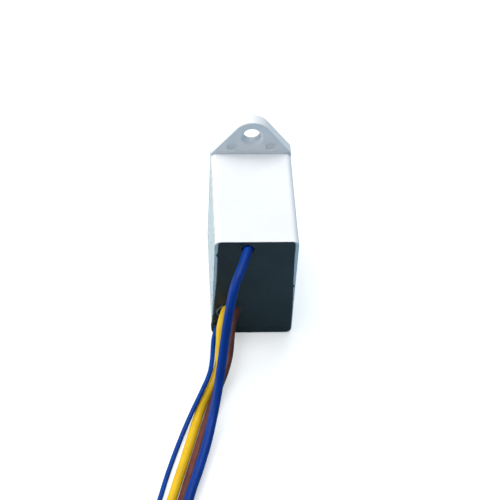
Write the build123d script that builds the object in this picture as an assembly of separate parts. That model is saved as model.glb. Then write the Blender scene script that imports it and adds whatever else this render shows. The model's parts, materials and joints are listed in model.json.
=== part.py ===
"""Potted surge-protective module: a moulded box with a screw ear, filled with resin, on four leads.

Millimetres. The box lies on its bottom side on Z = 0 and +Z is up. The potted mouth looks
towards -Y, the closed end with the ear is at +Y, and X is centred on the box.
"""

from build123d import *
import math
import os

# ---- moulded box ---------------------------------------------------------------------------
box_width = 28.0
box_height = 46.0
box_depth = 46.5
wall = 1.2
closed_wall = 2.0
edge_radius = 2.0
cavity_radius = 0.9
closed_edge_radius = 0.5
rest_post = 1.5

# ---- screw ear, standing up from the closed end ----------------------------------------------
ear_thickness = 4.5
ear_top = 14.4
ear_hole_height = 7.7
ear_hole_radius = 2.9
ear_hole_chamfer = 1.0
ear_shoulder = 0.3
ear_edge_radius = 0.4
ejector_radius = 1.8
ejector_depth = 0.3
ejector_offset = 6.7
ejector_height = 3.5

# ---- resin fill -------------------------------------------------------------------------------
resin_skin = 0.2
resin_corner = 1.2
resin_margin = 0.15
crater_radius = 2.2
crater_depth = 1.2

# ---- circuit board, set across the box below the mouth ----------------------------------------
board_below_rim = 10.0
board_thickness = 1.6
board_clearance = 0.5
track_thickness = 0.07
track_width = 1.6
line_turn_drop = 2.2
signal_turn_drop = 1.9
solder_height = 1.2
solder_radius = 1.1
solder_neck = 0.15
lead_stickout = 1.5
lead_bend_radius = 1.6

# ---- varistors: three coated discs in a row ---------------------------------------------------
varistor_names = ("line_neutral", "neutral_earth", "line_earth")
varistor_coat_radius = 11.25
varistor_coat_thickness = 6.0
varistor_coat_round = 2.4
varistor_disc_radius = 10.0
varistor_disc_thickness = 2.6
varistor_electrode_radius = 9.0
varistor_electrode_thickness = 0.12
varistor_lead_radius = 0.5
varistor_lead_spread = 5.0
varistor_lead_reach = 4.0
varistor_standoff = 3.0
varistor_top_gap = 1.2

# ---- thermal fuses, one in each gap between varistors -----------------------------------------
fuse_names = ("neutral", "line")
fuse_radius = 2.0
fuse_length = 9.0
fuse_can_wall = 0.3
fuse_seal_length = 1.4
fuse_pellet_length = 3.0
fuse_lead_radius = 0.4
fuse_lead_spread = 9.6
fuse_gap = 0.2

# ---- gas discharge tube -----------------------------------------------------------------------
gas_radius = 4.0
gas_ceramic_length = 4.4
gas_ceramic_wall = 1.2
gas_cap_thickness = 0.8
gas_boss_radius = 2.0
gas_spark_gap = 1.0
gas_lead_radius = 0.4
gas_lead_spread = 5.6
gas_height = 8.4

# ---- leads ------------------------------------------------------------------------------------
power_lead_radius = 1.55
power_core_radius = 0.8
signal_lead_radius = 0.8
signal_core_radius = 0.35
strip_length = 2.4
core_past_board = 1.0
power_tip_length = 8.0
signal_tip_length = 6.0

# Each lead's route: across the box, out from the potted face, and height above the table.
routes = {
    "neutral": [
        (-2.9, 0, 42.7), (-4.8, 7, 42.9), (-7.8, 13.6, 40.4), (-9.4, 19, 35), (-10.7, 23.6, 27.4),
        (-11.8, 28.4, 19.2), (-13.1, 34.2, 12), (-14.9, 41.6, 7.2), (-17, 50.5, 4.9),
        (-19.9, 60.5, 4.3), (-23.5, 71.5, 4.2), (-26.1, 83, 3.3), (-29.3, 94.5, 2), (-32.4, 105.2, 1.55),
        (-34.6, 110.8, 1.55),
    ],
    "earth": [
        (-9, 0, 13.4), (-11.1, 5.8, 12.6), (-11.5, 10.8, 8.7), (-11.5, 15.8, 4.1), (-13.2, 21, 2),
        (-15.9, 26.8, 1.55), (-18.5, 33.8, 1.55), (-20.8, 42, 1.55), (-23.4, 51.5, 1.55),
        (-26.3, 61.5, 1.55), (-29.3, 72, 1.55), (-33.2, 84, 1.55), (-37.4, 95.4, 1.55),
        (-42, 106.2, 1.55), (-47, 115.6, 1.55), (-49.6, 119.8, 1.55),
    ],
    "line": [
        (-5.6, 0, 12.2), (-7.6, 5.2, 11.7), (-8.1, 10.2, 9.6), (-8.6, 15.2, 7), (-10.1, 20.6, 5.1),
        (-12.4, 26.4, 4), (-14.7, 33.4, 2.6), (-17.4, 42, 1.7), (-20, 51.5, 1.55),
        (-22.9, 61.5, 1.55), (-25.9, 72.5, 1.55), (-29.8, 84.5, 1.55), (-33.6, 96, 1.55),
        (-37.8, 107, 1.55), (-42.3, 116.6, 1.55), (-44.6, 120.6, 1.55),
    ],
    "signal": [
        (-11.9, 0, 4.4), (-13.3, 4.8, 4.3), (-13.8, 9.8, 4.2), (-14.2, 15.4, 4.4), (-15.2, 21.6, 4.5),
        (-17.8, 28.2, 4.2), (-20.9, 35, 3.2), (-24.2, 42.6, 1.7), (-27.4, 51.5, 0.9), (-30.5, 61.5, 0.8),
        (-33.2, 72, 0.8), (-37.4, 83, 0.8), (-42, 93.4, 0.8), (-46.8, 103, 0.8), (-50.6, 109.8, 0.8),
        (-53.2, 114.6, 0.8),
    ],
}

# ---- places worked out from the sizes above ---------------------------------------------------
back_y = (box_depth + resin_skin) / 2
rim_y = back_y - box_depth
face_y = rim_y - resin_skin
cavity_width = box_width - 2 * wall
cavity_height = box_height - 2 * wall
cavity_end_y = back_y - closed_wall
middle_z = box_height / 2
board_front_y = rim_y + board_below_rim
board_back_y = board_front_y + board_thickness
varistor_y = board_back_y + varistor_standoff + varistor_coat_radius
varistor_pitch = varistor_coat_thickness + 2 * (fuse_radius + fuse_gap)
varistor_top_z = box_height - wall - varistor_top_gap - varistor_coat_thickness / 2
varistor_z = [varistor_top_z - i * varistor_pitch for i in range(len(varistor_names))]
fuse_z = [z - varistor_pitch / 2 for z in varistor_z[: len(fuse_names)]]
gas_y = board_back_y + varistor_standoff + gas_radius


on_its_base = (Align.CENTER, Align.CENTER, Align.MIN)


def prism(sketch, y_start, length):
    """Extrude a sketch drawn across and up, from y_start and towards +Y."""
    plane = Plane(origin=(0, y_start, 0), x_dir=(1, 0, 0), z_dir=(0, -1, 0))
    return extrude(plane * sketch, amount=-length)


def rounded_prism(width, height, radius, y_start, length):
    return prism(Pos(0, middle_z) * RectangleRounded(width, height, radius), y_start, length)


def rod(start, end, radius):
    """A round bar from one point to another."""
    start, end = Vector(start), Vector(end)
    plane = Plane(origin=start, z_dir=end - start)
    return extrude(plane * Circle(radius), amount=(end - start).length)


def tube_along(wire, radius):
    """A round solid swept along a wire."""
    section = Plane(origin=wire @ 0, z_dir=wire % 0) * Circle(radius)
    return sweep(section, path=wire)


def along_y(x, z, radius, y_start, length):
    return prism(Pos(x, z) * Circle(radius), y_start, length)


def less(solid, others):
    """The solid with every other one cut out of it, a cut at a time."""
    for other in others:
        solid = solid - other
    return solid


# ---- housing ----------------------------------------------------------------------------------
def ear_outline():
    """Plate outline: upright at its base, then straight to a round crown about the hole."""
    half = box_width / 2
    foot_z = box_height - 2 * edge_radius
    shoulder_z = box_height + ear_shoulder
    hole_z = box_height + ear_hole_height
    crown = ear_top - ear_hole_height
    to_corner = math.atan2(shoulder_z - hole_z, half)
    reach = math.hypot(half, shoulder_z - hole_z)
    touch = to_corner + math.acos(crown / reach)
    touch_x, touch_z = crown * math.cos(touch), hole_z + crown * math.sin(touch)
    points = [(-half, foot_z), (half, foot_z), (half, shoulder_z), (touch_x, touch_z)]
    points += [(-touch_x, touch_z), (-half, shoulder_z)]
    return Polygon(*points, align=None) + Pos(0, hole_z) * Circle(crown)


def make_cavity():
    return rounded_prism(cavity_width, cavity_height, cavity_radius, rim_y, box_depth - closed_wall)


def make_housing():
    shell = rounded_prism(box_width, box_height, edge_radius, rim_y, box_depth)
    shell = fillet(shell.faces().sort_by(Axis.Y)[-1].edges(), closed_edge_radius)
    ear_front_y = back_y - ear_thickness
    ear = prism(ear_outline(), ear_front_y, ear_thickness)
    flat_edges = [e for e in ear.edges() if e.bounding_box().size.Y < 0.01]
    crown_edges = [e for e in flat_edges if e.center().Z > box_height]
    shell = shell + fillet(crown_edges, ear_edge_radius)
    shell = shell - make_cavity()
    post_length = cavity_end_y - board_back_y
    for side_x in (-1, 1):
        for side_z in (-1, 1):
            x = side_x * (cavity_width - rest_post) / 2
            z = middle_z + side_z * (cavity_height - rest_post) / 2
            post = Pos(x, z) * Rectangle(rest_post, rest_post)
            shell = shell + prism(post, board_back_y, post_length)
    hole_z = box_height + ear_hole_height
    hole = along_y(0, hole_z, ear_hole_radius, ear_front_y, ear_thickness)
    wide = ear_hole_radius + ear_hole_chamfer
    flare = Cone(wide, ear_hole_radius, ear_hole_chamfer, align=on_its_base)
    for y, inwards in ((ear_front_y, 1), (back_y, -1)):
        hole = hole + Plane(origin=(0, y, hole_z), z_dir=(0, inwards, 0)) * flare
    shell = shell - hole
    for side in (-1, 1):
        mark_z = box_height + ejector_height
        shell = shell - along_y(side * ejector_offset, mark_z, ejector_radius, ear_front_y, ejector_depth)
    return shell


# ---- leads ------------------------------------------------------------------------------------
def route_points(name):
    return [Vector(x, face_y - out, z) for x, out, z in routes[name]]


def corner_radii(points):
    """The largest arc that each corner's two runs allow."""
    radii = []
    for before, at, after in zip(points, points[1:], points[2:]):
        shorter = min((at - before).length, (after - at).length)
        turn = math.radians((at - before).get_angle(after - at))
        radii.append(0.45 * shorter / math.tan(turn / 2))
    return radii


def make_free_lead(name, radius):
    points = route_points(name)
    radii = corner_radii(points)
    path = FilletPolyline(*points, radius=radii)
    lead = tube_along(path, radius)
    expected = math.pi * radius**2 * path.length
    print(name, "length", round(path.length, 1), "radii", [round(r, 1) for r in radii])
    print(name, "volume over section times length", round(lead.volume / expected, 4))
    return lead


def make_lead_root(name, radius, core_radius):
    """The stretch inside the resin: it runs back from the exit, in line with the first free run."""
    exit_point, first = route_points(name)[:2]
    inwards = (exit_point - first).normalized()
    to_board = (board_front_y - exit_point.Y) / inwards.Y
    sleeve_end = exit_point + inwards * (to_board - strip_length)
    core_end = exit_point + inwards * (to_board + board_thickness + core_past_board)
    core = rod(exit_point, core_end, core_radius)
    sleeve = rod(exit_point, sleeve_end, radius) - core
    at_board = exit_point + inwards * to_board
    return sleeve, core, at_board


def make_tip(name, core_radius, length):
    before, last = route_points(name)[-2:]
    return rod(last, last + (last - before).normalized() * length, core_radius)


# ---- parts on the board -----------------------------------------------------------------------
def varistor_lead_height(z, side):
    """The height of a varistor's lead, which runs flat against the outside of its electrode."""
    reach = varistor_disc_thickness / 2 + varistor_electrode_thickness + varistor_lead_radius
    return z + side * reach


def make_varistor(z):
    """Coating, ceramic disc, electrodes and leads of one disc, and the room that they take."""
    half = varistor_disc_thickness / 2
    up = Plane(origin=(0, varistor_y, z), z_dir=(0, 0, 1))
    ceramic = up * Cylinder(varistor_disc_radius, varistor_disc_thickness)
    electrodes = []
    leads = []
    for side in (-1, 1):
        sheet = Cylinder(varistor_electrode_radius, varistor_electrode_thickness)
        electrodes.append(up * Pos(0, 0, side * (half + varistor_electrode_thickness / 2)) * sheet)
        x, lead_z = side * varistor_lead_spread, varistor_lead_height(z, side)
        start_y = board_front_y - lead_stickout
        length = varistor_y + varistor_lead_reach - start_y
        leads.append(along_y(x, lead_z, varistor_lead_radius, start_y, length))
    body = up * Cylinder(varistor_coat_radius, varistor_coat_thickness)
    body = fillet(body.edges().filter_by(GeomType.CIRCLE), varistor_coat_round)
    coating = less(body, [ceramic, *electrodes, *leads])
    return coating, ceramic, electrodes, leads, [body, *leads]


def bent_lead(side, start_x, spread, y, z, radius):
    """A wire that leaves a part sideways and turns down through the board."""
    end_y = board_front_y - lead_stickout
    points = [(side * start_x, y, z), (side * spread, y, z), (side * spread, end_y, z)]
    return tube_along(FilletPolyline(*points, radius=lead_bend_radius), radius)


def make_fuse(z):
    """A metal can, closed at one end, with a pellet inside and a resin seal at the other."""
    level = Plane(origin=(0, varistor_y, z), z_dir=(1, 0, 0))
    low = on_its_base
    bore = fuse_radius - fuse_can_wall
    start = -fuse_length / 2
    body = level * Pos(0, 0, start) * Cylinder(fuse_radius, fuse_length, align=low)
    inside = level * Pos(0, 0, start) * Cylinder(bore, fuse_length - fuse_can_wall, align=low)
    seal = level * Pos(0, 0, start) * Cylinder(bore, fuse_seal_length, align=low)
    pellet_start = fuse_length / 2 - fuse_can_wall - fuse_pellet_length
    pellet = level * Pos(0, 0, pellet_start) * Cylinder(bore, fuse_pellet_length, align=low)
    seal_x = fuse_length / 2 - fuse_seal_length
    sealed = bent_lead(-1, seal_x, fuse_lead_spread, varistor_y, z, fuse_lead_radius)
    welded = bent_lead(1, fuse_length / 2, fuse_lead_spread, varistor_y, z, fuse_lead_radius)
    return body - inside, seal - sealed, pellet, [sealed, welded], [body, sealed, welded]


def make_gas_tube():
    """A ceramic ring between two metal caps whose bosses face each other across the spark gap."""
    level = Plane(origin=(0, gas_y, gas_height), z_dir=(1, 0, 0))
    bore = gas_radius - gas_ceramic_wall
    ceramic = level * (Cylinder(gas_radius, gas_ceramic_length) - Cylinder(bore, gas_ceramic_length))
    body_length = gas_ceramic_length + 2 * gas_cap_thickness
    body = level * Cylinder(gas_radius, body_length)
    boss_length = (gas_ceramic_length - gas_spark_gap) / 2
    caps = []
    leads = []
    for side in (-1, 1):
        cap_middle = side * (gas_ceramic_length + gas_cap_thickness) / 2
        boss_middle = side * (gas_spark_gap + boss_length) / 2
        cap = Pos(0, 0, cap_middle) * Cylinder(gas_radius, gas_cap_thickness)
        boss = Pos(0, 0, boss_middle) * Cylinder(gas_boss_radius, boss_length)
        caps.append(level * (cap + boss))
        start_x = body_length / 2
        leads.append(bent_lead(side, start_x, gas_lead_spread, gas_y, gas_height, gas_lead_radius))
    return ceramic, caps, leads, [body, *leads]


def make_solder(x, z, lead_radius, lead):
    """A cone of solder round a lead, on the side of the board towards the mouth."""
    plane = Plane(origin=(x, board_front_y, z), z_dir=(0, -1, 0))
    neck = lead_radius + solder_neck
    return plane * Cone(solder_radius, neck, solder_height, align=on_its_base) - lead


def make_track(points, y_start):
    """One circuit's copper: a strip of even width through its points, round at each."""
    strip = Pos(*points[0]) * Circle(track_width / 2)
    for (x_a, z_a), (x_b, z_b) in zip(points, points[1:]):
        angle = math.degrees(math.atan2(z_b - z_a, x_b - x_a))
        run = Rectangle(math.hypot(x_b - x_a, z_b - z_a), track_width)
        strip = strip + Pos((x_a + x_b) / 2, (z_a + z_b) / 2) * Rot(0, 0, angle) * run
        strip = strip + Pos(x_b, z_b) * Circle(track_width / 2)
    return prism(strip, y_start, track_thickness)


# ---- the assembly -----------------------------------------------------------------------------
nodes = {"housing_shell": make_housing()}
displaced = []
wires_through_board = []
places = {}

for name, z in zip(varistor_names, varistor_z):
    coating, ceramic, electrodes, leads, room = make_varistor(z)
    nodes[f"varistor_{name}_coating"] = coating
    nodes[f"varistor_{name}_ceramic"] = ceramic
    nodes[f"varistor_{name}_electrodes"] = Compound(electrodes)
    nodes[f"varistor_{name}_leads"] = Compound(leads)
    displaced += room
    for side, lead in zip(("left", "right"), leads):
        lead_x, lead_z = lead.center().X, lead.center().Z
        places[f"varistor_{name}_{side}"] = (lead_x, lead_z)
        wires_through_board.append((lead_x, lead_z, varistor_lead_radius, lead))

for name, z in zip(fuse_names, fuse_z):
    can, seal, pellet, leads, room = make_fuse(z)
    nodes[f"thermal_fuse_{name}_can"] = can
    nodes[f"thermal_fuse_{name}_seal"] = seal
    nodes[f"thermal_fuse_{name}_pellet"] = pellet
    nodes[f"thermal_fuse_{name}_leads"] = Compound(leads)
    displaced += room
    for side, lead_x, lead in zip(("left", "right"), (-fuse_lead_spread, fuse_lead_spread), leads):
        places[f"fuse_{name}_{side}"] = (lead_x, z)
        wires_through_board.append((lead_x, z, fuse_lead_radius, lead))

ceramic, caps, leads, room = make_gas_tube()
nodes["gas_tube_ceramic"] = ceramic
nodes["gas_tube_caps"] = Compound(caps)
nodes["gas_tube_leads"] = Compound(leads)
displaced += room
for side, lead_x, lead in zip(("left", "right"), (-gas_lead_spread, gas_lead_spread), leads):
    places[f"gas_{side}"] = (lead_x, gas_height)
    wires_through_board.append((lead_x, gas_height, gas_lead_radius, lead))

for name in routes:
    power = name != "signal"
    radius = power_lead_radius if power else signal_lead_radius
    core_radius = power_core_radius if power else signal_core_radius
    tip_length = power_tip_length if power else signal_tip_length
    free = make_free_lead(name, radius)
    sleeve, core, at_board = make_lead_root(name, radius, core_radius)
    nodes[f"{name}_lead_root"] = sleeve
    nodes[f"{name}_lead_core"] = core
    nodes[f"{name}_lead"] = free
    nodes[f"{name}_lead_tip"] = make_tip(name, core_radius, tip_length)
    displaced += [sleeve, core, free]
    places[name] = (at_board.X, at_board.Z)
    wires_through_board.append((at_board.X, at_board.Z, core_radius, core))

solder = [make_solder(*wire) for wire in wires_through_board]
wires = [wire[-1] for wire in wires_through_board]
board_width = cavity_width - 2 * board_clearance
board_height = cavity_height - 2 * board_clearance
board_outline = Pos(0, middle_z) * Rectangle(board_width, board_height)
nodes["circuit_board"] = less(prism(board_outline, board_front_y, board_thickness), wires)
nodes["solder_joints"] = Compound(solder)

# On the mouth side: each power lead to its fuse or tube, and what the neutral fuse and the tube
# feed. On the other side: what the line fuse feeds, with the signal lead.
line_turn = (places["line"][0], places["fuse_line_left"][1] - line_turn_drop)
signal_turn = (places["fuse_line_left"][0], places["varistor_line_earth_left"][1] - signal_turn_drop)
fuse_turn = (0, places["fuse_line_right"][1])
front_circuits = [
    [places["neutral"], places["fuse_neutral_right"]],
    [places["varistor_line_neutral_left"], places["fuse_neutral_left"],
     places["varistor_neutral_earth_left"]],
    [places["line"], line_turn, places["fuse_line_left"]],
    [places["varistor_neutral_earth_right"], places["varistor_line_earth_right"], places["gas_right"]],
    [places["gas_left"], places["earth"]],
]
back_circuits = [
    [places["signal"], signal_turn, places["varistor_line_earth_left"], fuse_turn,
     places["fuse_line_right"], places["varistor_line_neutral_right"]],
]
front_y = board_front_y - track_thickness
front_tracks = [less(make_track(points, front_y), [*solder, *wires]) for points in front_circuits]
back_tracks = [less(make_track(points, board_back_y), wires) for points in back_circuits]
nodes["front_tracks"] = Compound(front_tracks)
nodes["back_tracks"] = Compound(back_tracks)
displaced += [nodes["circuit_board"], *front_tracks, *back_tracks, *solder]

skin_height = box_height - 2 * resin_margin
fill = make_cavity() + rounded_prism(cavity_width, skin_height, resin_corner, face_y, resin_skin)
crater_x, _, crater_z = routes["neutral"][0]
crater_plane = Plane(origin=(crater_x, face_y, crater_z), z_dir=(0, 1, 0))
crater = crater_plane * Cone(crater_radius, power_lead_radius, crater_depth, align=on_its_base)
nodes["resin_fill"] = less(fill - crater, [nodes["housing_shell"], *displaced])

for name, shape in nodes.items():
    export_step(shape, f"parts/{name}.step")
print(len(nodes), "nodes")
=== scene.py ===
"""The looks of a small potted surge protector: moulded box and ear, resin fill and four loose leads.

Everything is in metres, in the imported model's own frame: the box lies on its bottom side on Z = 0,
the resin looks towards -Y and the ear stands up from the closed end at +Y.
"""

import json
import logging
import math
from collections.abc import Callable
from dataclasses import dataclass, field
from enum import Enum

import bmesh
import bpy
import numpy as np
from mathutils import Matrix, Vector, noise
from mathutils.geometry import delaunay_2d_cdt


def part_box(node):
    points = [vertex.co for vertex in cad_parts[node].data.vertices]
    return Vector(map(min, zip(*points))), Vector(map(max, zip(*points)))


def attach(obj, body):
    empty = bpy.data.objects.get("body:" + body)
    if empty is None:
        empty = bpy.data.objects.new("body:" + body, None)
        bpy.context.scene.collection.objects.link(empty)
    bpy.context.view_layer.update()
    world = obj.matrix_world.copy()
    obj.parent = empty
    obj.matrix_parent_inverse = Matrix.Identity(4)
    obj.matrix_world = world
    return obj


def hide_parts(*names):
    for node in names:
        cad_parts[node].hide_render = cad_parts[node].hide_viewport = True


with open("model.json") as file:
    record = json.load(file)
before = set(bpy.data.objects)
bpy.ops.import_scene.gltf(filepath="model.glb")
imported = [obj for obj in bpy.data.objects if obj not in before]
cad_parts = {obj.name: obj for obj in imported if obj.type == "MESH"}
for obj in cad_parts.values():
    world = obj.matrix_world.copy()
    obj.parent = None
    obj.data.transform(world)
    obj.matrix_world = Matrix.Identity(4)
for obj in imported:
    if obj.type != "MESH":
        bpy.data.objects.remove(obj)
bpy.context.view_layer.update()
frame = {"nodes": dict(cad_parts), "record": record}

log = logging.getLogger("surge_protector")

MM = 0.001
BODY = "root"
FACE_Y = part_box("resin_fill")[0].y
WAVE_TO_GRAIN = 14
Colour = tuple[float, float, float]
Point2 = tuple[float, float]
Socket = bpy.types.NodeSocket
Look = dict[str, bpy.types.NodeSocket]


# ---- small tools -----------------------------------------------------------------------------
class Graph:
    """A node tree, with a short way to add a node and join it up."""

    def __init__(self, tree: bpy.types.NodeTree) -> None:
        """Keeps the tree that nodes are added to."""
        self.tree = tree
        self.source: bpy.types.bpy_prop_collection | None = None
        self.sink: bpy.types.Node | None = None

    def add(self, kind: str, settings: dict | None = None, **inputs: object) -> bpy.types.Node:
        """Adds one node.

        Args:
            kind: The node's Blender type name.
            settings: Attributes to set on the node before its inputs.
            inputs: Input identifier or name, with spaces as underscores, and its value or the
                output socket that feeds it.

        Returns:
            The new node.
        """
        node = self.tree.nodes.new(kind)
        for key, value in (settings or {}).items():
            setattr(node, key, value)
        for key, value in inputs.items():
            self.feed(node, key, value)
        return node

    def feed(self, node: bpy.types.Node, key: str, value: object) -> None:
        """Sets one input, or links an output socket to it.

        Args:
            node: The node to feed.
            key: The input's identifier or name, with underscores for spaces.
            value: A plain value or an output socket.
        """
        socket = find_socket(node.inputs, key)
        if isinstance(value, bpy.types.NodeSocket):
            self.tree.links.new(value, socket)
        elif socket.type == "RGBA" and len(value) == 3:
            socket.default_value = (*value, 1.0)
        else:
            socket.default_value = value

    def maths(self, operation: str, first: object, second: object = 0.0) -> Socket:
        """Adds a Math node and gives its output."""
        node = self.add("ShaderNodeMath", {"operation": operation}, Value=first, Value_001=second)
        return node.outputs[0]

    def times(self, first: object, second: object) -> Socket:
        """Multiplies two values."""
        return self.maths("MULTIPLY", first, second)

    def plus(self, first: object, second: object) -> Socket:
        """Adds two values."""
        return self.maths("ADD", first, second)

    def minus(self, first: object, second: object) -> Socket:
        """Takes the second value from the first."""
        return self.maths("SUBTRACT", first, second)

    def group(self, builder: Callable[[str], "Graph"], **inputs: object) -> bpy.types.bpy_prop_collection:
        """Places a shared effect and gives its outputs."""
        return self.add("ShaderNodeGroup", {"node_tree": shared(builder)}, **inputs).outputs

    def noise(self, place: Socket, scale: object, detail: float, roughness: float = 0.5) -> Socket:
        """Adds a noise texture and gives its value."""
        return self.add(
            "ShaderNodeTexNoise", Vector=place, Scale=scale, Detail=detail, Roughness=roughness
        ).outputs["Fac"]

    def blend(self, factor: object, first: object, second: object) -> Socket:
        """Mixes two colours by a factor and gives the result."""
        mix = self.add("ShaderNodeMix", {"data_type": "RGBA"},
                       Factor_Float=factor, A_Color=first, B_Color=second)
        return find_socket(mix.outputs, "Result_Color")

    def spread(self, value: object, low: object, high: object, to_low: object = 0.0,
               to_high: object = 1.0) -> Socket:
        """Maps a value smoothly from one range to another, held at its ends."""
        span = self.add(
            "ShaderNodeMapRange",
            {"interpolation_type": "SMOOTHSTEP"},
            Value=value,
            From_Min=low,
            From_Max=high,
            To_Min=to_low,
            To_Max=to_high,
        )
        return span.outputs["Result"]


def find_socket(sockets: object, key: str) -> Socket:
    """Finds a socket by identifier, or else by name.

    Args:
        sockets: A node's inputs or outputs.
        key: The identifier or name, with underscores for spaces.

    Returns:
        The socket.
    """
    spaced = key.replace("_", " ")
    tests = (lambda s: s.identifier == key, lambda s: s.identifier == spaced, lambda s: s.name == spaced)
    for test in tests:
        for socket in sockets:
            if test(socket):
                return socket
    raise KeyError(key)


def add_object(name: str, data: bpy.types.ID) -> bpy.types.Object:
    """Puts a mesh, curve, light or camera into the scene under a name."""
    made = bpy.data.objects.new(name, data)
    bpy.context.scene.collection.objects.link(made)
    return made


def settle(rough: bpy.types.Object, name: str) -> bpy.types.Object:
    """Turns an object with modifiers into a plain mesh, and removes the first one.

    Args:
        rough: The object with its modifiers.
        name: The name of the plain piece.

    Returns:
        The plain piece, at the origin.
    """
    bpy.context.view_layer.update()
    evaluated = rough.evaluated_get(bpy.context.evaluated_depsgraph_get())
    mesh = bpy.data.meshes.new_from_object(evaluated)
    old = rough.data
    bpy.data.objects.remove(rough)
    if isinstance(old, bpy.types.Mesh):
        bpy.data.meshes.remove(old)
    else:
        bpy.data.curves.remove(old)
    mesh.name = name
    return add_object(name, mesh)


def loft(rings: list[list[Vector]], name: str) -> bpy.types.Object:
    """Joins closed rings of equal length by quads and closes both ends.

    Args:
        rings: The rings, each a list of points in the same order.
        name: The name of the object.

    Returns:
        A closed mesh object with its faces outwards.
    """
    shape = bmesh.new()
    rows = [[shape.verts.new(point) for point in ring] for ring in rings]
    for row, following in zip(rows, rows[1:]):
        for i, corner in enumerate(row):
            j = (i + 1) % len(row)
            shape.faces.new((corner, row[j], following[j], following[i]))
    shape.faces.new(rows[0])
    shape.faces.new(rows[-1])
    bmesh.ops.recalc_face_normals(shape, faces=shape.faces)
    mesh = bpy.data.meshes.new(name)
    shape.to_mesh(mesh)
    shape.free()
    return add_object(name, mesh)


def rounded_rectangle(width: float, height: float, radius: float, corner_steps: int,
                      side_steps: tuple[int, int]) -> list[Point2]:
    """Points round a rectangle with round corners, centred on (0, 0) and anticlockwise.

    Args:
        width: Its size across.
        height: Its size up.
        radius: The corners' radius.
        corner_steps: How many steps each corner is drawn in.
        side_steps: How many steps its level and its upright sides are drawn in.

    Returns:
        The points.
    """
    points = []
    centres = [(1, -1), (1, 1), (-1, 1), (-1, -1)]
    for quarter, (side_x, side_z) in enumerate(centres):
        for step in range(corner_steps + 1):
            angle = math.pi / 2 * (quarter - 1 + step / corner_steps)
            x = side_x * (width / 2 - radius) + radius * math.cos(angle)
            z = side_z * (height / 2 - radius) + radius * math.sin(angle)
            points.append((x, z))
        next_x, next_z = centres[(quarter + 1) % 4]
        angle = math.pi / 2 * quarter
        end = (next_x * (width / 2 - radius) + radius * math.cos(angle),
               next_z * (height / 2 - radius) + radius * math.sin(angle))
        count = side_steps[(quarter + 1) % 2]
        start = points[-1]
        for step in range(1, count):
            share = step / count
            points.append((start[0] + (end[0] - start[0]) * share, start[1] + (end[1] - start[1]) * share))
    return points


def smooth_step(value: float) -> float:
    """Eases a value from 0 to 1, held at its ends."""
    held = min(1.0, max(0.0, value))
    return held * held * (3 - 2 * held)


def bump(distance: float, reach: float) -> float:
    """A round hump that is 1 at no distance and fades out about its reach."""
    return math.exp(-((distance / reach) ** 2))


class Cut(Enum):
    """How one solid changes another."""

    JOIN = "UNION"
    REMOVE = "DIFFERENCE"


def combine(base: bpy.types.Object, tool: bpy.types.Object, cut: Cut) -> bpy.types.Object:
    """Joins or cuts two closed meshes and keeps the result under the first one's name.

    Args:
        base: The solid that is kept.
        tool: The solid that is added or cut away, and then removed.
        cut: Which of the two.

    Returns:
        The new plain object.
    """
    step = base.modifiers.new("cut", "BOOLEAN")
    step.operation = cut.value
    step.solver = "EXACT"
    step.object = tool
    name = base.name
    base.name = name + "_before"
    made = settle(base, name)
    old = tool.data
    bpy.data.objects.remove(tool)
    bpy.data.meshes.remove(old)
    return made


# ---- shader effects that several finishes share ------------------------------------------------
def new_group(name: str, inputs: list[tuple[str, str]], outputs: list[tuple[str, str]]) -> Graph:
    """Starts a shader node group with named inputs and outputs.

    Args:
        name: The group's name.
        inputs: Each input's name and socket type.
        outputs: Each output's name and socket type.

    Returns:
        The group's graph, with its input and output nodes added.
    """
    tree = bpy.data.node_groups.new(name, "ShaderNodeTree")
    for label, kind in inputs:
        tree.interface.new_socket(name=label, in_out="INPUT", socket_type=kind)
    for label, kind in outputs:
        tree.interface.new_socket(name=label, in_out="OUTPUT", socket_type=kind)
    graph = Graph(tree)
    graph.source = graph.add("NodeGroupInput").outputs
    graph.sink = graph.add("NodeGroupOutput")
    return graph


def shared(builder: Callable[[str], Graph]) -> bpy.types.NodeTree:
    """Gives the node group that a builder makes, building it the first time only."""
    name = builder.__name__
    return bpy.data.node_groups.get(name) or builder(name).tree


def clouding(name: str) -> Graph:
    """Soft drifts between two colours, with the roughness drifting along.

    Args:
        name: The group's name.

    Returns:
        The group: Place, Size, First, Second, Low and High give Colour, Roughness and Mask.
    """
    graph = new_group(
        name,
        [("Place", "NodeSocketVector"), ("Size", "NodeSocketFloat"), ("First", "NodeSocketColor"),
         ("Second", "NodeSocketColor"), ("Low", "NodeSocketFloat"), ("High", "NodeSocketFloat")],
        [("Colour", "NodeSocketColor"), ("Roughness", "NodeSocketFloat"), ("Mask", "NodeSocketFloat")],
    )
    source = graph.source
    frequency = graph.maths("DIVIDE", 1.0, source["Size"])
    wide = graph.noise(source["Place"], frequency, 3.0, 0.5)
    finer = graph.times(frequency, 4.3)
    small = graph.noise(source["Place"], finer, 4.0, 0.6)
    both = graph.plus(graph.times(wide, 0.65), graph.times(small, 0.35))
    mask = graph.spread(both, 0.36, 0.64)
    graph.feed(graph.sink, "Colour", graph.blend(mask, source["First"], source["Second"]))
    gloss = graph.spread(small, 0.3, 0.7, source["Low"], source["High"])
    graph.feed(graph.sink, "Roughness", gloss)
    graph.feed(graph.sink, "Mask", mask)
    return graph


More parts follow.
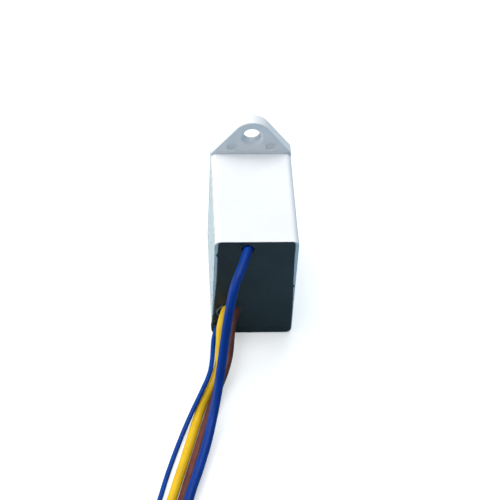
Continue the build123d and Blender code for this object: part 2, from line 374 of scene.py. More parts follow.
def moulded_grain(name: str) -> Graph:
    """The fine grain of a moulded or cast skin, with a slow waviness under it.

    Args:
        name: The group's name.

    Returns:
        The group: Place, Grain and Wave sizes and Wave share give Height.
    """
    graph = new_group(
        name,
        [("Place", "NodeSocketVector"), ("Grain", "NodeSocketFloat"), ("Wave", "NodeSocketFloat"),
         ("Wave share", "NodeSocketFloat")],
        [("Height", "NodeSocketFloat")],
    )
    source = graph.source
    grain = graph.noise(source["Place"], graph.maths("DIVIDE", 1.0, source["Grain"]), 3.0, 0.65)
    wave = graph.noise(source["Place"], graph.maths("DIVIDE", 1.0, source["Wave"]), 1.5, 0.4)
    rest = graph.minus(1.0, source["Wave share"])
    height = graph.plus(graph.times(grain, rest), graph.times(wave, source["Wave share"]))
    graph.feed(graph.sink, "Height", height)
    return graph


def scattered_specks(name: str) -> Graph:
    """Small round specks in random places, such as dust, pinholes or bubbles.

    Args:
        name: The group's name.

    Returns:
        The group: Place, Spacing, Size and Share give Mask.
    """
    graph = new_group(
        name,
        [("Place", "NodeSocketVector"), ("Spacing", "NodeSocketFloat"), ("Size", "NodeSocketFloat"),
         ("Share", "NodeSocketFloat")],
        [("Mask", "NodeSocketFloat")],
    )
    source = graph.source
    cells = graph.add("ShaderNodeTexVoronoi", Vector=source["Place"],
                      Scale=graph.maths("DIVIDE", 1.0, source["Spacing"]), Randomness=1.0)
    solid = graph.times(source["Size"], 0.6)
    dot = graph.spread(cells.outputs["Distance"], solid, source["Size"], 1.0, 0.0)
    tint = graph.add("ShaderNodeSeparateColor", Color=cells.outputs["Color"])
    chosen = graph.maths("LESS_THAN", tint.outputs["Red"], source["Share"])
    graph.feed(graph.sink, "Mask", graph.times(dot, chosen))
    return graph


def handling_marks(name: str) -> Graph:
    """Faint hairline scratches in two directions.

    Args:
        name: The group's name.

    Returns:
        The group: Place and Spacing give Mask.
    """
    graph = new_group(
        name,
        [("Place", "NodeSocketVector"), ("Spacing", "NodeSocketFloat")],
        [("Mask", "NodeSocketFloat")],
    )
    source = graph.source
    masks = []
    for turn, stretch in ((0.5, (1.0, 0.05, 0.6)), (-0.9, (0.07, 1.0, 0.8))):
        laid = graph.add("ShaderNodeMapping", Vector=source["Place"],
                         Rotation=(turn, turn * 0.7, turn * 1.3), Scale=stretch)
        frequency = graph.maths("DIVIDE", 1.0, source["Spacing"])
        lines = graph.noise(laid.outputs["Vector"], frequency, 2.0, 0.7)
        masks.append(graph.spread(lines, 0.68, 0.74))
    graph.feed(graph.sink, "Mask", graph.maths("MAXIMUM", masks[0], masks[1]))
    return graph


# ---- finishes ----------------------------------------------------------------------------------
@dataclass(frozen=True)
class Finish:
    """A surface with drifting colour, drifting gloss and a fine grain.

    Attributes:
        name: The finish's name, which is also its slot in the record.
        colour: Its main colour.
        second: The colour that it drifts to.
        roughness: Its usual roughness.
        drift: How far the roughness drifts each way.
        cloud: The size of the colour drifts.
        grain: The size of the grain.
        relief: The height of the grain.
        wave_share: How much of the relief is slow waviness.
        metallic: 1 on bare metal.
        coat: The strength of a clear skin over it.
        shine: How strongly it reflects, 0.5 being usual for plastic.
        ior: Its index of refraction.
    """

    name: str
    colour: Colour
    second: Colour
    roughness: float = 0.4
    drift: float = 0.06
    cloud: float = 9 * MM
    grain: float = 0.25 * MM
    relief: float = 0.012 * MM
    wave_share: float = 0.3
    metallic: float = 0.0
    coat: float = 0.0
    shine: float = 0.5
    ior: float = 1.45

    def material(self) -> bpy.types.Material:
        """Builds the material once, and gives the same one after that."""
        made = bpy.data.materials.get(self.name + "_finish")
        if made:
            return made
        made = bpy.data.materials.new(self.name + "_finish")
        made.use_nodes = True
        graph = Graph(made.node_tree)
        shader = made.node_tree.nodes["Principled BSDF"]
        shader.inputs["Metallic"].default_value = self.metallic
        shader.inputs["Coat Weight"].default_value = self.coat
        shader.inputs["Specular IOR Level"].default_value = self.shine
        shader.inputs["IOR"].default_value = self.ior
        place = self.place(graph)
        cloud = graph.group(clouding, Place=place, Size=self.cloud, First=self.colour, Second=self.second,
                            Low=self.roughness - self.drift, High=self.roughness + self.drift)
        skin = graph.group(moulded_grain, Place=place, Grain=self.grain, Wave=self.grain * WAVE_TO_GRAIN,
                           Wave_share=self.wave_share)
        look = {"colour": cloud["Colour"], "roughness": cloud["Roughness"], "height": skin["Height"]}
        self.detail(graph, place, look)
        relief = graph.add("ShaderNodeBump", Strength=1.0, Distance=self.relief, Height=look["height"])
        graph.feed(shader, "Base_Color", look["colour"])
        graph.feed(shader, "Roughness", look["roughness"])
        graph.feed(shader, "Normal", relief.outputs["Normal"])
        made.diffuse_color = (*self.colour, 1.0)
        return made

    def place(self, graph: Graph) -> Socket:
        """The coordinates that the patterns follow."""
        return graph.add("ShaderNodeTexCoord").outputs["Object"]

    def detail(self, graph: Graph, place: Socket, look: Look) -> None:
        """Adds what only this finish has, by replacing entries of the look.

        Args:
            graph: The material's graph.
            place: The coordinates that the patterns follow.
            look: The colour, roughness and height so far.
        """


@dataclass(frozen=True)
class MouldedFinish(Finish):
    """White moulded plastic with dust, hairlines and a mottled, handled side.

    Attributes:
        dust: The colour of its specks.
        scuff: The colour of the mottling on its left side.
        scuffed_side: The X beyond which that side begins.
    """

    dust: Colour = (0.42, 0.44, 0.42)
    scuff: Colour = (0.52, 0.59, 0.53)
    scuffed_side: float = -13.4 * MM

    def detail(self, graph: Graph, place: Socket, look: Look) -> None:
        """Adds the specks, the hairlines and the mottled side."""
        specks = graph.group(scattered_specks, Place=place, Spacing=2.6 * MM, Size=0.05, Share=0.16)
        marks = graph.group(handling_marks, Place=place, Spacing=1.1 * MM)
        across = graph.add("ShaderNodeSeparateXYZ", Vector=place).outputs["X"]
        side = graph.spread(across, self.scuffed_side - 0.6 * MM, self.scuffed_side, 1.0, 0.0)
        laid = graph.add("ShaderNodeMapping", Vector=place, Scale=(1.0, 0.8, 1.6))
        blotch = graph.noise(laid.outputs["Vector"], 520.0, 5.0, 0.65)
        mottle = graph.times(graph.spread(blotch, 0.46, 0.6), side)
        colour = graph.blend(graph.times(mottle, 0.9), look["colour"], self.scuff)
        look["colour"] = graph.blend(graph.times(specks["Mask"], 0.55), colour, self.dust)
        rougher = graph.plus(graph.times(marks["Mask"], 0.08), graph.times(mottle, 0.15))
        look["roughness"] = graph.plus(look["roughness"], rougher)
        scratched = graph.minus(look["height"], graph.times(marks["Mask"], 0.35))
        look["height"] = graph.plus(scratched, graph.times(mottle, 0.6))


@dataclass(frozen=True)
class ResinFinish(Finish):
    """Black potting resin: dull gloss, pinholes, pale dust, a cured skin with slow waves and a painted
    highlight on the upper rim of the crater round the upper lead.

    Attributes:
        dust: The colour of its dust and haze.
        smear: The colour of the smear beside the lower leads.
        lip: The colour of the painted highlight, a pale band on the upper rim of the crater round the upper
            lead.
    """

    dust: Colour = (0.16, 0.18, 0.18)
    smear: Colour = (0.15, 0.11, 0.11)
    lip: Colour = (0.34, 0.30, 0.33)

    def detail(self, graph: Graph, place: Socket, look: Look) -> None:
        """Adds the pinholes, the dust, a few streaks from wiping, the smear and a painted highlight on the
        crater's upper rim.
        """
        holes = graph.group(scattered_specks, Place=place, Spacing=2.2 * MM, Size=0.07, Share=0.2)
        dust = graph.group(scattered_specks, Place=place, Spacing=1.3 * MM, Size=0.05, Share=0.12)
        marks = graph.group(handling_marks, Place=place, Spacing=1.8 * MM)
        haze = graph.times(marks["Mask"], 0.12)
        colour = graph.blend(haze, look["colour"], self.dust)
        colour = graph.blend(graph.times(dust["Mask"], 0.6), colour, self.dust)
        torn = graph.noise(place, 1400.0, 4.0)
        near = self.round_spot(graph, place, (-4.0 * MM, 0, 13.1 * MM), (1.0, 0.0, 2.2))
        reach = graph.spread(near, 0.4 * MM, 1.5 * MM, 1.0, 0.0)
        smear = graph.times(reach, graph.spread(torn, 0.4, 0.6))
        colour = graph.blend(graph.times(smear, 0.8), colour, self.smear)
        # Painted highlight: a pale band on the crater's upper rim round the upper lead, where the overhead
        # light would catch it.
        from_lead = self.round_spot(graph, place, (-2.9 * MM, 0, 42.6 * MM), (1.0, 0.0, 1.0))
        band = graph.times(graph.spread(from_lead, 2.0 * MM, 2.2 * MM),
                           graph.spread(from_lead, 2.35 * MM, 2.6 * MM, 1.0, 0.0))
        height = graph.add("ShaderNodeSeparateXYZ", Vector=place).outputs["Z"]
        lip = graph.times(band, graph.spread(height, 43.2 * MM, 44.2 * MM))
        look["colour"] = graph.blend(graph.times(lip, graph.spread(torn, 0.3, 0.5)), colour, self.lip)
        look["roughness"] = graph.plus(look["roughness"], graph.times(marks["Mask"], 0.06))
        look["height"] = graph.minus(look["height"], graph.times(holes["Mask"], 1.6))

    def round_spot(self, graph: Graph, place: Socket, centre: tuple[float, float, float],
                   stretch: tuple[float, float, float]) -> Socket:
        """The distance from a spot on the face, with each axis weighted.

        Args:
            graph: The material's graph.
            place: The coordinates.
            centre: The spot.
            stretch: The weight of each axis.

        Returns:
            The distance.
        """
        away = graph.add("ShaderNodeVectorMath", {"operation": "SUBTRACT"},
                         Vector=place, Vector_001=centre)
        weighted = graph.add("ShaderNodeVectorMath", {"operation": "MULTIPLY"},
                             Vector=away.outputs["Vector"], Vector_001=stretch)
        length = graph.add("ShaderNodeVectorMath", {"operation": "LENGTH"},
                           Vector=weighted.outputs["Vector"])
        return length.outputs["Value"]


@dataclass(frozen=True)
class SleeveFinish(Finish):
    """Extruded insulation: its streaks run along the lead, and it is a little paler where it is scuffed.

    Attributes:
        scuff: The colour of its rubbed marks.
    """

    scuff: Colour = (0.5, 0.5, 0.5)

    def detail(self, graph: Graph, place: Socket, look: Look) -> None:
        """Adds the drawn streaks, from the tube's own round-and-along attribute, and the rubbed marks."""
        along = graph.add("ShaderNodeAttribute", {"attribute_name": "round_and_along"}).outputs["Vector"]
        streaks = graph.noise(along, 5.5, 4.0, 0.65)
        marks = graph.group(handling_marks, Place=place, Spacing=0.9 * MM)
        dust = graph.group(scattered_specks, Place=place, Spacing=1.5 * MM, Size=0.06, Share=0.1)
        drawn = graph.spread(streaks, 0.35, 0.65)
        rubbed = graph.maths("MAXIMUM", graph.times(marks["Mask"], 0.12), graph.times(dust["Mask"], 0.4))
        look["colour"] = graph.blend(rubbed, look["colour"], self.scuff)
        look["roughness"] = graph.plus(look["roughness"], graph.times(drawn, 0.07))
        look["height"] = graph.plus(graph.times(look["height"], 0.5), drawn)


@dataclass(frozen=True)
class WovenFinish(Finish):
    """Glass-epoxy laminate: the cloth's weave shows faintly under the solder mask.

    Attributes:
        weave: The spacing of the glass threads.
    """

    weave: float = 0.8 * MM

    def detail(self, graph: Graph, place: Socket, look: Look) -> None:
        """Adds the two directions of thread."""
        heights = []
        for direction in ("X", "Z"):
            threads = graph.add("ShaderNodeTexWave", {"bands_direction": direction}, Vector=place,
                                Scale=0.5 / self.weave, Distortion=0.6, Detail=1.0)
            heights.append(threads.outputs["Fac"])
        cloth = graph.times(heights[0], heights[1])
        look["colour"] = graph.blend(graph.times(cloth, 0.3), look["colour"], self.second)
        look["height"] = graph.plus(look["height"], graph.times(cloth, 0.5))


@dataclass(frozen=True)
class DrawnMetalFinish(Finish):
    """Drawn or plated metal with fine lines and duller patches.

    Attributes:
        tarnish: The colour of its duller patches.
    """

    tarnish: Colour = (0.3, 0.27, 0.24)

    def detail(self, graph: Graph, place: Socket, look: Look) -> None:
        """Adds the lines and the tarnish."""
        marks = graph.group(handling_marks, Place=place, Spacing=0.5 * MM)
        patches = graph.noise(place, 700.0, 4.0, 0.6)
        dull = graph.spread(patches, 0.5, 0.75)
        look["colour"] = graph.blend(graph.times(dull, 0.5), look["colour"], self.tarnish)
        look["roughness"] = graph.plus(look["roughness"], graph.times(dull, 0.18))
        look["height"] = graph.minus(look["height"], graph.times(marks["Mask"], 0.5))


@dataclass(frozen=True)
class SpeckledFinish(Finish):
    """Fired ceramic or filled epoxy: a matte body with darker grains."""

    def detail(self, graph: Graph, place: Socket, look: Look) -> None:
        """Adds the grains."""
        grains = graph.group(scattered_specks, Place=place, Spacing=0.5 * MM, Size=0.3, Share=0.35)
        look["colour"] = graph.blend(graph.times(grains["Mask"], 0.5), look["colour"], self.second)
        look["height"] = graph.minus(look["height"], graph.times(grains["Mask"], 0.6))


FINISHES: dict[str, Finish] = {
    made.name: made
    for made in (
        MouldedFinish("housing", (0.855, 0.86, 0.885), (0.825, 0.835, 0.86), roughness=0.42, cloud=14 * MM,
                      grain=0.22 * MM, relief=0.008 * MM),
        ResinFinish("resin", (0.020, 0.026, 0.026), (0.028, 0.036, 0.036), roughness=0.42, drift=0.05,
                    cloud=11 * MM, grain=0.35 * MM, relief=0.02 * MM, wave_share=0.7, shine=0.5),
        SleeveFinish("blue_sleeve", (0.003, 0.043, 0.30), (0.003, 0.034, 0.23),
                     roughness=0.36, shine=0.35, ior=1.3, relief=0.010 * MM, scuff=(0.06, 0.15, 0.45)),
        SleeveFinish("thin_blue_sleeve", (0.002, 0.056, 0.34), (0.002, 0.044, 0.28),
                     roughness=0.36, shine=0.3, ior=1.3, relief=0.006 * MM, scuff=(0.06, 0.18, 0.5)),
        SleeveFinish("yellow_sleeve", (0.82, 0.51, 0.008), (0.74, 0.44, 0.007),
                     roughness=0.38, shine=0.45, ior=1.35, relief=0.010 * MM, scuff=(0.9, 0.78, 0.35)),
        SleeveFinish("brown_sleeve", (0.150, 0.043, 0.034), (0.095, 0.024, 0.019),
                     roughness=0.40, shine=0.45, ior=1.35, relief=0.010 * MM, scuff=(0.25, 0.13, 0.1)),
        # A paler copy of the resin for the curl beside the yellow lead: a painted highlight on the rim of
        # the pit there.
        Finish("resin_thread", (0.42, 0.45, 0.46), (0.30, 0.33, 0.34), roughness=0.35, cloud=1 * MM),
        DrawnMetalFinish("tinned_wire", (0.72, 0.70, 0.66), (0.62, 0.60, 0.56), roughness=0.3, metallic=1.0,
                         cloud=2 * MM, relief=0.006 * MM),
        WovenFinish("laminate", (0.03, 0.17, 0.075), (0.10, 0.28, 0.13), roughness=0.35, relief=0.01 * MM),
        DrawnMetalFinish("track_copper", (0.72, 0.38, 0.22), (0.62, 0.30, 0.17),
                         roughness=0.32, metallic=1.0,
                         tarnish=(0.3, 0.14, 0.08)),
        DrawnMetalFinish("solder", (0.68, 0.68, 0.66), (0.58, 0.58, 0.57), roughness=0.26, metallic=1.0,
                         cloud=1.5 * MM),
        SpeckledFinish("disc_coating", (0.03, 0.13, 0.38), (0.02, 0.09, 0.28),
                       roughness=0.45, relief=0.03 * MM),
        SpeckledFinish("zinc_oxide", (0.17, 0.17, 0.16), (0.09, 0.09, 0.085),
                       roughness=0.7, relief=0.02 * MM),
        DrawnMetalFinish("electrode", (0.80, 0.80, 0.77), (0.70, 0.70, 0.67), roughness=0.42, metallic=1.0),
        DrawnMetalFinish("fuse_can", (0.66, 0.60, 0.50), (0.56, 0.50, 0.42), roughness=0.3, metallic=1.0),
        SpeckledFinish("fuse_seal", (0.42, 0.10, 0.05), (0.30, 0.07, 0.04), roughness=0.5),
        SpeckledFinish("fuse_pellet", (0.70, 0.63, 0.50), (0.58, 0.50, 0.38), roughness=0.6),
        SpeckledFinish("alumina", (0.86, 0.85, 0.81), (0.74, 0.73, 0.70), roughness=0.5, relief=0.008 * MM),
        DrawnMetalFinish("nickel_cap", (0.62, 0.59, 0.53), (0.54, 0.51, 0.46),
                         roughness=0.28, metallic=1.0),
    )
}


def dress(piece: bpy.types.Object, finish: str) -> None:
    """Gives a piece one finish.

    Args:
        piece: The piece.
        finish: The name of a finish in FINISHES.
    """
    piece.data.materials.clear()
    piece.data.materials.append(FINISHES[finish].material())


def shade_by_area(piece: bpy.types.Object, sharp_degrees: float) -> None:
    """Shades a piece smooth, with its large faces flat and its sharp edges kept.

    Args:
        piece: The piece.
        sharp_degrees: An edge that turns by more than this stays sharp.
    """
    piece.data.shade_smooth()
    shape = bmesh.new()
    shape.from_mesh(piece.data)
    for edge in shape.edges:
        turn = edge.calc_face_angle(0.0)
        edge.smooth = turn < math.radians(sharp_degrees)
    shape.to_mesh(piece.data)
    shape.free()
    step = piece.modifiers.new("weighted", "WEIGHTED_NORMAL")
    step.keep_sharp = True
    step.weight = 50


# ---- housing -----------------------------------------------------------------------------------
@dataclass
class Housing:
    """The moulded box with its screw ear.

    Attributes:
        wall: The side walls' thickness.
        closed_wall: The closed end's thickness.
        box_height: How high the box is without its ear.
        edge_radius: The radius of the four long edges.
        cavity_radius: The radius of the mouth's corners.
        closed_edge_radius: The rounding round the closed end.
        rim_edge_radius: The small rounding of the mouth's rim.
        sink: How far the side walls are drawn in at their middle.
        ear_thickness: The ear's thickness.
        ear_hole_height: The screw hole's height over the box's top.
        ear_hole_radius: The screw hole's radius.
        ear_hole_chamfer: The flare at both ends of the hole.
        ear_shoulder: How far the ear goes straight up before it slopes.
        ear_edge_radius: The rounding of the ear's edges.
        ejector_radius: The radius of the two ejector-pin marks.
        ejector_depth: Their depth.
        ejector_offset: Their distance from the middle.
        ejector_height: Their height over the box's top.
    """

    wall: float = 1.2 * MM
    closed_wall: float = 2.0 * MM
    box_height: float = 46.0 * MM
    edge_radius: float = 2.0 * MM
    cavity_radius: float = 0.9 * MM
    closed_edge_radius: float = 0.5 * MM
    rim_edge_radius: float = 0.18 * MM
    sink: float = 0.14 * MM
    ear_thickness: float = 4.5 * MM
    ear_hole_height: float = 7.7 * MM
    ear_hole_radius: float = 2.9 * MM
    ear_hole_chamfer: float = 1.0 * MM
    ear_shoulder: float = 0.3 * MM
    ear_edge_radius: float = 0.4 * MM
    ejector_radius: float = 1.8 * MM
    ejector_depth: float = 0.55 * MM
    ejector_offset: float = 6.7 * MM
    ejector_height: float = 3.5 * MM
    low: Vector = field(default_factory=lambda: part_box("housing_shell")[0])
    high: Vector = field(default_factory=lambda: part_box("housing_shell")[1])

    def build(self) -> bpy.types.Object:
        """Makes the whole moulding as one piece on the frame.

        Returns:
            The finished piece.
        """
        shell = combine(self.box(), self.ear(), Cut.JOIN)
        shell = combine(shell, self.hole(), Cut.REMOVE)
        for side in (-1, 1):
            shell = combine(shell, self.ejector_mark(side), Cut.REMOVE)
        shade_by_area(shell, 38)
        shell = settle(shell, "housing_moulding")
        dress(shell, "housing")
        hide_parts("housing_shell")
        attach(shell, BODY)
        log.info("housing: %d faces", len(shell.data.polygons))
        return shell

    def ring(self, y: float, inset: float, cavity: bool) -> list[Vector]:
        """One loop round the box, outside or inside its walls.

        Args:
            y: The loop's place along the box.
            inset: How far it is drawn in from the wall's face, outwards of the cavity if negative.
            cavity: Whether it follows the cavity or the outside.

        Returns:
            The loop's points.
        """
        width = self.high.x - self.low.x
        wall = self.wall if cavity else 0.0
        radius = self.cavity_radius if cavity else self.edge_radius
        flat = rounded_rectangle(width - 2 * (wall + inset), self.box_height - 2 * (wall + inset),
                                 max(radius - inset, 0.05 * MM), 10, (8, 13))
        middle = self.box_height / 2
        half_width, half_height = width / 2, self.box_height / 2
        share = (y - self.low.y) / (self.high.y - self.low.y)
        points = []
        for x, z in flat:
            along = math.sin(math.pi * min(1.0, max(0.0, share))) ** 0.8
            up = 1 - (z / half_height) ** 2
            over = 1 - (x / half_width) ** 2
            drawn_x = drawn_z = 0.0
            if not cavity:
                aside, above = (abs(x) / half_width) ** 8, (abs(z) / half_height) ** 8
                drawn_x = -math.copysign(self.sink * along * max(0.0, up), x) * aside
                drawn_z = -self.sink * along * max(0.0, over) * (z > 0) * above
            points.append(Vector((x + drawn_x, y, middle + z + drawn_z)))
        return points

    def box(self) -> bpy.types.Object:
        """The open box, lofted along its outside, over its rim and back down inside.

        Returns:
            A closed thin-walled mesh.
        """
        rim, back = self.low.y, self.high.y
        floor = back - self.closed_wall
        rings = []
        for step in range(5):
            angle = math.pi / 2 * step / 4
            reach = self.closed_edge_radius
            depth = reach * (1 - math.sin(math.pi / 2 - angle))
            rings.append(self.ring(back - depth, reach * (1 - math.sin(angle)), False))
        count = 14
        start, end = back - self.closed_edge_radius, rim + self.rim_edge_radius
        for step in range(1, count + 1):
            rings.append(self.ring(start + (end - start) * step / count, 0.0, False))
        lip = self.rim_edge_radius
        rings.append(self.ring(rim + 0.3 * lip, 0.3 * lip, False))
        rings.append(self.ring(rim, lip, False))
        rings.append(self.ring(rim, -lip, True))
        rings.append(self.ring(rim + 0.3 * lip, -0.3 * lip, True))
        rings.append(self.ring(rim + lip, 0.0, True))
        rings += [self.ring(rim + (floor - rim) * step / 6, 0.0, True) for step in range(1, 7)]
        return loft(rings, "housing_box")

    def ear_outline(self, grow: float) -> list[Point2]:
        """The ear's outline: straight sides that meet a round crown about the hole.

        Args:
            grow: How far the outline is moved outwards above the box's top.

        Returns:
            Its points, anticlockwise from the lower right.
        """
        half = (self.high.x - self.low.x) / 2
        foot = self.box_height - 2 * self.edge_radius
        shoulder = self.box_height + self.ear_shoulder
        hole = self.box_height + self.ear_hole_height
        crown = self.high.z - hole
        reach = math.hypot(half, shoulder - hole)
        to_corner = math.atan2(shoulder - hole, half)
        touch = to_corner + math.acos(crown / reach)
        crown += grow
        points = [(half + grow, foot), (half + grow, self.box_height - 0.2 * MM)]
        corner_steps, crown_steps = 6, 48
        for step in range(corner_steps + 1):
            angle = touch * step / corner_steps
            rounding = 0.35 * MM
            points.append((half - rounding + (rounding + grow) * math.cos(angle),
                           shoulder - rounding * math.tan(touch / 2) + (rounding + grow) * math.sin(angle)))
        for step in range(crown_steps + 1):
            angle = touch + (math.pi - 2 * touch) * step / crown_steps
            points.append((crown * math.cos(angle), hole + crown * math.sin(angle)))
        mirrored = [(-x, z) for x, z in reversed(points[:-crown_steps - 1])]
        return points + mirrored

    def ear(self) -> bpy.types.Object:
        """The ear's plate, with its edges rounded over by lofted rings.

        Returns:
            A closed mesh that reaches down into the box's closed end.
        """
        front, back = self.high.y - self.ear_thickness, self.high.y
        radius = self.ear_edge_radius
        rings = []
        for step in range(5):
            angle = math.pi / 2 * step / 4
            grow, y = -radius * (1 - math.sin(angle)), front + radius * (1 - math.cos(angle))
            rings.append([Vector((x, y, z)) for x, z in self.ear_outline(grow)])
        for step in range(5):
            angle = math.pi / 2 * (1 - step / 4)
            grow, y = -radius * (1 - math.sin(angle)), back - radius * (1 - math.cos(angle))
            rings.append([Vector((x, y, z)) for x, z in self.ear_outline(grow)])
        return loft(rings, "housing_ear")

    def turned(self, profile: list[Point2], centre: Vector, steps: int, name: str) -> bpy.types.Object:
        """A round cutter about an axis along Y.

        Args:
            profile: Radius and Y of each ring, in order along the axis.
            centre: A point on the axis, of which X and Z are used.
            steps: How many sides it has.
            name: The cutter's name.

        Returns:
            The closed cutter.
        """
        rings = []
        for radius, y in profile:
            turns = [2 * math.pi * step / steps for step in range(steps)]
            rings.append([
                Vector((centre.x + radius * math.cos(t), y, centre.z + radius * math.sin(t))) for t in turns
            ])
        return loft(rings, name)

    def hole(self) -> bpy.types.Object:
        """The screw hole's cutter: straight in the middle and flared with eased lips at both ends."""
        front, back = self.high.y - self.ear_thickness, self.high.y
        radius, flare, beyond = self.ear_hole_radius, self.ear_hole_chamfer, 1 * MM
        near = [(radius + flare + 0.22 * MM, -beyond), (radius + flare + 0.22 * MM, -0.01 * MM),
                (radius + flare + 0.06 * MM, 0.03 * MM), (radius + flare - 0.12 * MM, 0.14 * MM),
                (radius + 0.2 * MM, flare - 0.16 * MM), (radius + 0.06 * MM, flare - 0.02 * MM),
                (radius, flare + 0.15 * MM)]
        profile = [(r, front + depth) for r, depth in near]
        profile += [(r, back - depth) for r, depth in reversed(near)]
        centre = Vector((0, 0, self.box_height + self.ear_hole_height))
        return self.turned(profile, centre, 64, "hole_cutter")

    def ejector_mark(self, side: int) -> bpy.types.Object:
        """The cutter of one ejector-pin mark, with a soft bottom corner and an eased lip."""
        front = self.high.y - self.ear_thickness
        radius, depth = self.ejector_radius, self.ejector_depth
        profile = [(radius + 0.1 * MM, -1 * MM), (radius + 0.1 * MM, -0.01 * MM), (radius, 0.05 * MM),
                   (radius - 0.04 * MM, depth - 0.1 * MM), (radius - 0.16 * MM, depth)]
        centre = Vector((side * self.ejector_offset, 0, self.box_height + self.ejector_height))
        return self.turned([(r, front + y) for r, y in profile], centre, 40, "ejector_cutter")


# ---- leads -------------------------------------------------------------------------------------
@dataclass
class Lead:
    """One insulated lead with a stripped, stranded end.

    Attributes:
        name: The lead's name, as its CAD nodes have it.
        finish: Its sleeve's finish.
        radius: The sleeve's outer radius.
        core_radius: The strands' outer radius together.
        tip_length: How long the stripped end is.
        rings: How many rings of strands lie about the middle one.
        route: Across, out from the resin's face, and height of each of its points.
    """

    name: str
    finish: str
    radius: float
    core_radius: float
    tip_length: float
    rings: int
    route: list[tuple[float, float, float]]
    sides: int = 32
    ring_step: float = 0.5 * MM

    def __post_init__(self) -> None:
        """Works out the route's points in the frame."""
        self.points = [Vector((across, FACE_Y - out, height)) for across, out, height in self.route]

    def curve(self) -> bpy.types.Object:
        """The lead's centreline as one smooth curve through its route's control points.

        Returns:
            A curve object with no thickness.
        """
        line = bpy.data.curves.new(self.name + "_line", "CURVE")
        line.dimensions = "3D"
        spline = line.splines.new("NURBS")
        spline.points.add(len(self.points) - 1)
        for slot, point in zip(spline.points, self.points):
            slot.co = (*point, 1.0)
        spline.order_u = 3
        spline.use_endpoint_u = True
        line.resolution_u = 16
        return add_object(self.name + "_line", line)

    def build(self) -> bpy.types.Object:
        """Returns:
            The sleeve.
        """
        line = self.curve()
        bare = bpy.data.meshes.new_from_object(line)
        bpy.data.meshes.remove(bare)
        set_inputs(line, sleeve_nodes(), {
            "Radius": self.radius,
            "Sides": self.sides,
            "Ring step": self.ring_step,
            "Finish": FINISHES[self.finish].material(),
        })
        sleeve = settle(line, self.name + "_sleeve")
        dress(sleeve, self.finish)
        strands = self.strands()
        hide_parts(self.name + "_lead")
        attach(sleeve, BODY)
        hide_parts(self.name + "_lead_tip")
        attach(strands, BODY)
        return sleeve

    def strands(self) -> bpy.types.Object:
        """The stripped end: twisted tinned strands that open a little towards their cut ends.

        Returns:
            The finished piece.
        """
        before, last = self.points[-2:]
        start = bpy.data.meshes.new(self.name + "_strands")
        rough = add_object(self.name + "_strands_rough", start)
        across = 2 * self.rings + 1
        set_inputs(rough, strand_nodes(), {
            "Start": last - (last - before).normalized() * 0.6 * MM,
            "Direction": (last - before).normalized(),
            "Length": self.tip_length + 0.4 * MM,
            "Strand radius": self.core_radius / across,
            "Outer ring": 12 if self.rings > 1 else 0,
            "Twist": 0.95 * self.tip_length / (5.5 * self.core_radius),
            "Finish": FINISHES["tinned_wire"].material(),
        })
        piece = settle(rough, self.name + "_strands")
        dress(piece, "tinned_wire")
        return piece


def set_inputs(piece: bpy.types.Object, tree: bpy.types.NodeTree, values: dict[str, object]) -> None:
    """Puts a Geometry Nodes tree on an object and sets its named inputs.

    Args:
        piece: The object.
        tree: The tree.
        values: Input name and value, set through the socket's identifier.
    """
    step = piece.modifiers.new(tree.name, "NODES")
    step.node_group = tree
    for item in tree.interface.items_tree:
        if item.item_type == "SOCKET" and item.in_out == "INPUT" and item.name in values:
            step[item.identifier] = values[item.name]


def new_shape_tree(name: str, inputs: list[tuple[str, str]]) -> Graph:
    """Starts a Geometry Nodes tree with a geometry input and output and named sizes."""
    tree = bpy.data.node_groups.new(name, "GeometryNodeTree")
    tree.interface.new_socket(name="Geometry", in_out="INPUT", socket_type="NodeSocketGeometry")
    for label, kind in inputs:
        tree.interface.new_socket(name=label, in_out="INPUT", socket_type=kind)
    tree.interface.new_socket(name="Geometry", in_out="OUTPUT", socket_type="NodeSocketGeometry")
    graph = Graph(tree)
    graph.source = graph.add("NodeGroupInput").outputs
    graph.sink = graph.add("NodeGroupOutput")
    return graph


def close_tree(graph: Graph, shape: Socket) -> None:
    """Ends a tree: the shape is smoothed, made real and given the tree's finish.

    Args:
        graph: The tree's graph, whose source has a Finish.
        shape: The geometry so far.
    """
    smooth = graph.add("GeometryNodeSetShadeSmooth", Geometry=shape, Shade_Smooth=True)
    whole = graph.add("GeometryNodeRealizeInstances", Geometry=smooth.outputs["Geometry"])
    finish = graph.add("GeometryNodeSetMaterial", Geometry=whole.outputs["Geometry"],
                       Material=graph.source["Finish"])
    graph.feed(graph.sink, "Geometry", finish.outputs["Geometry"])


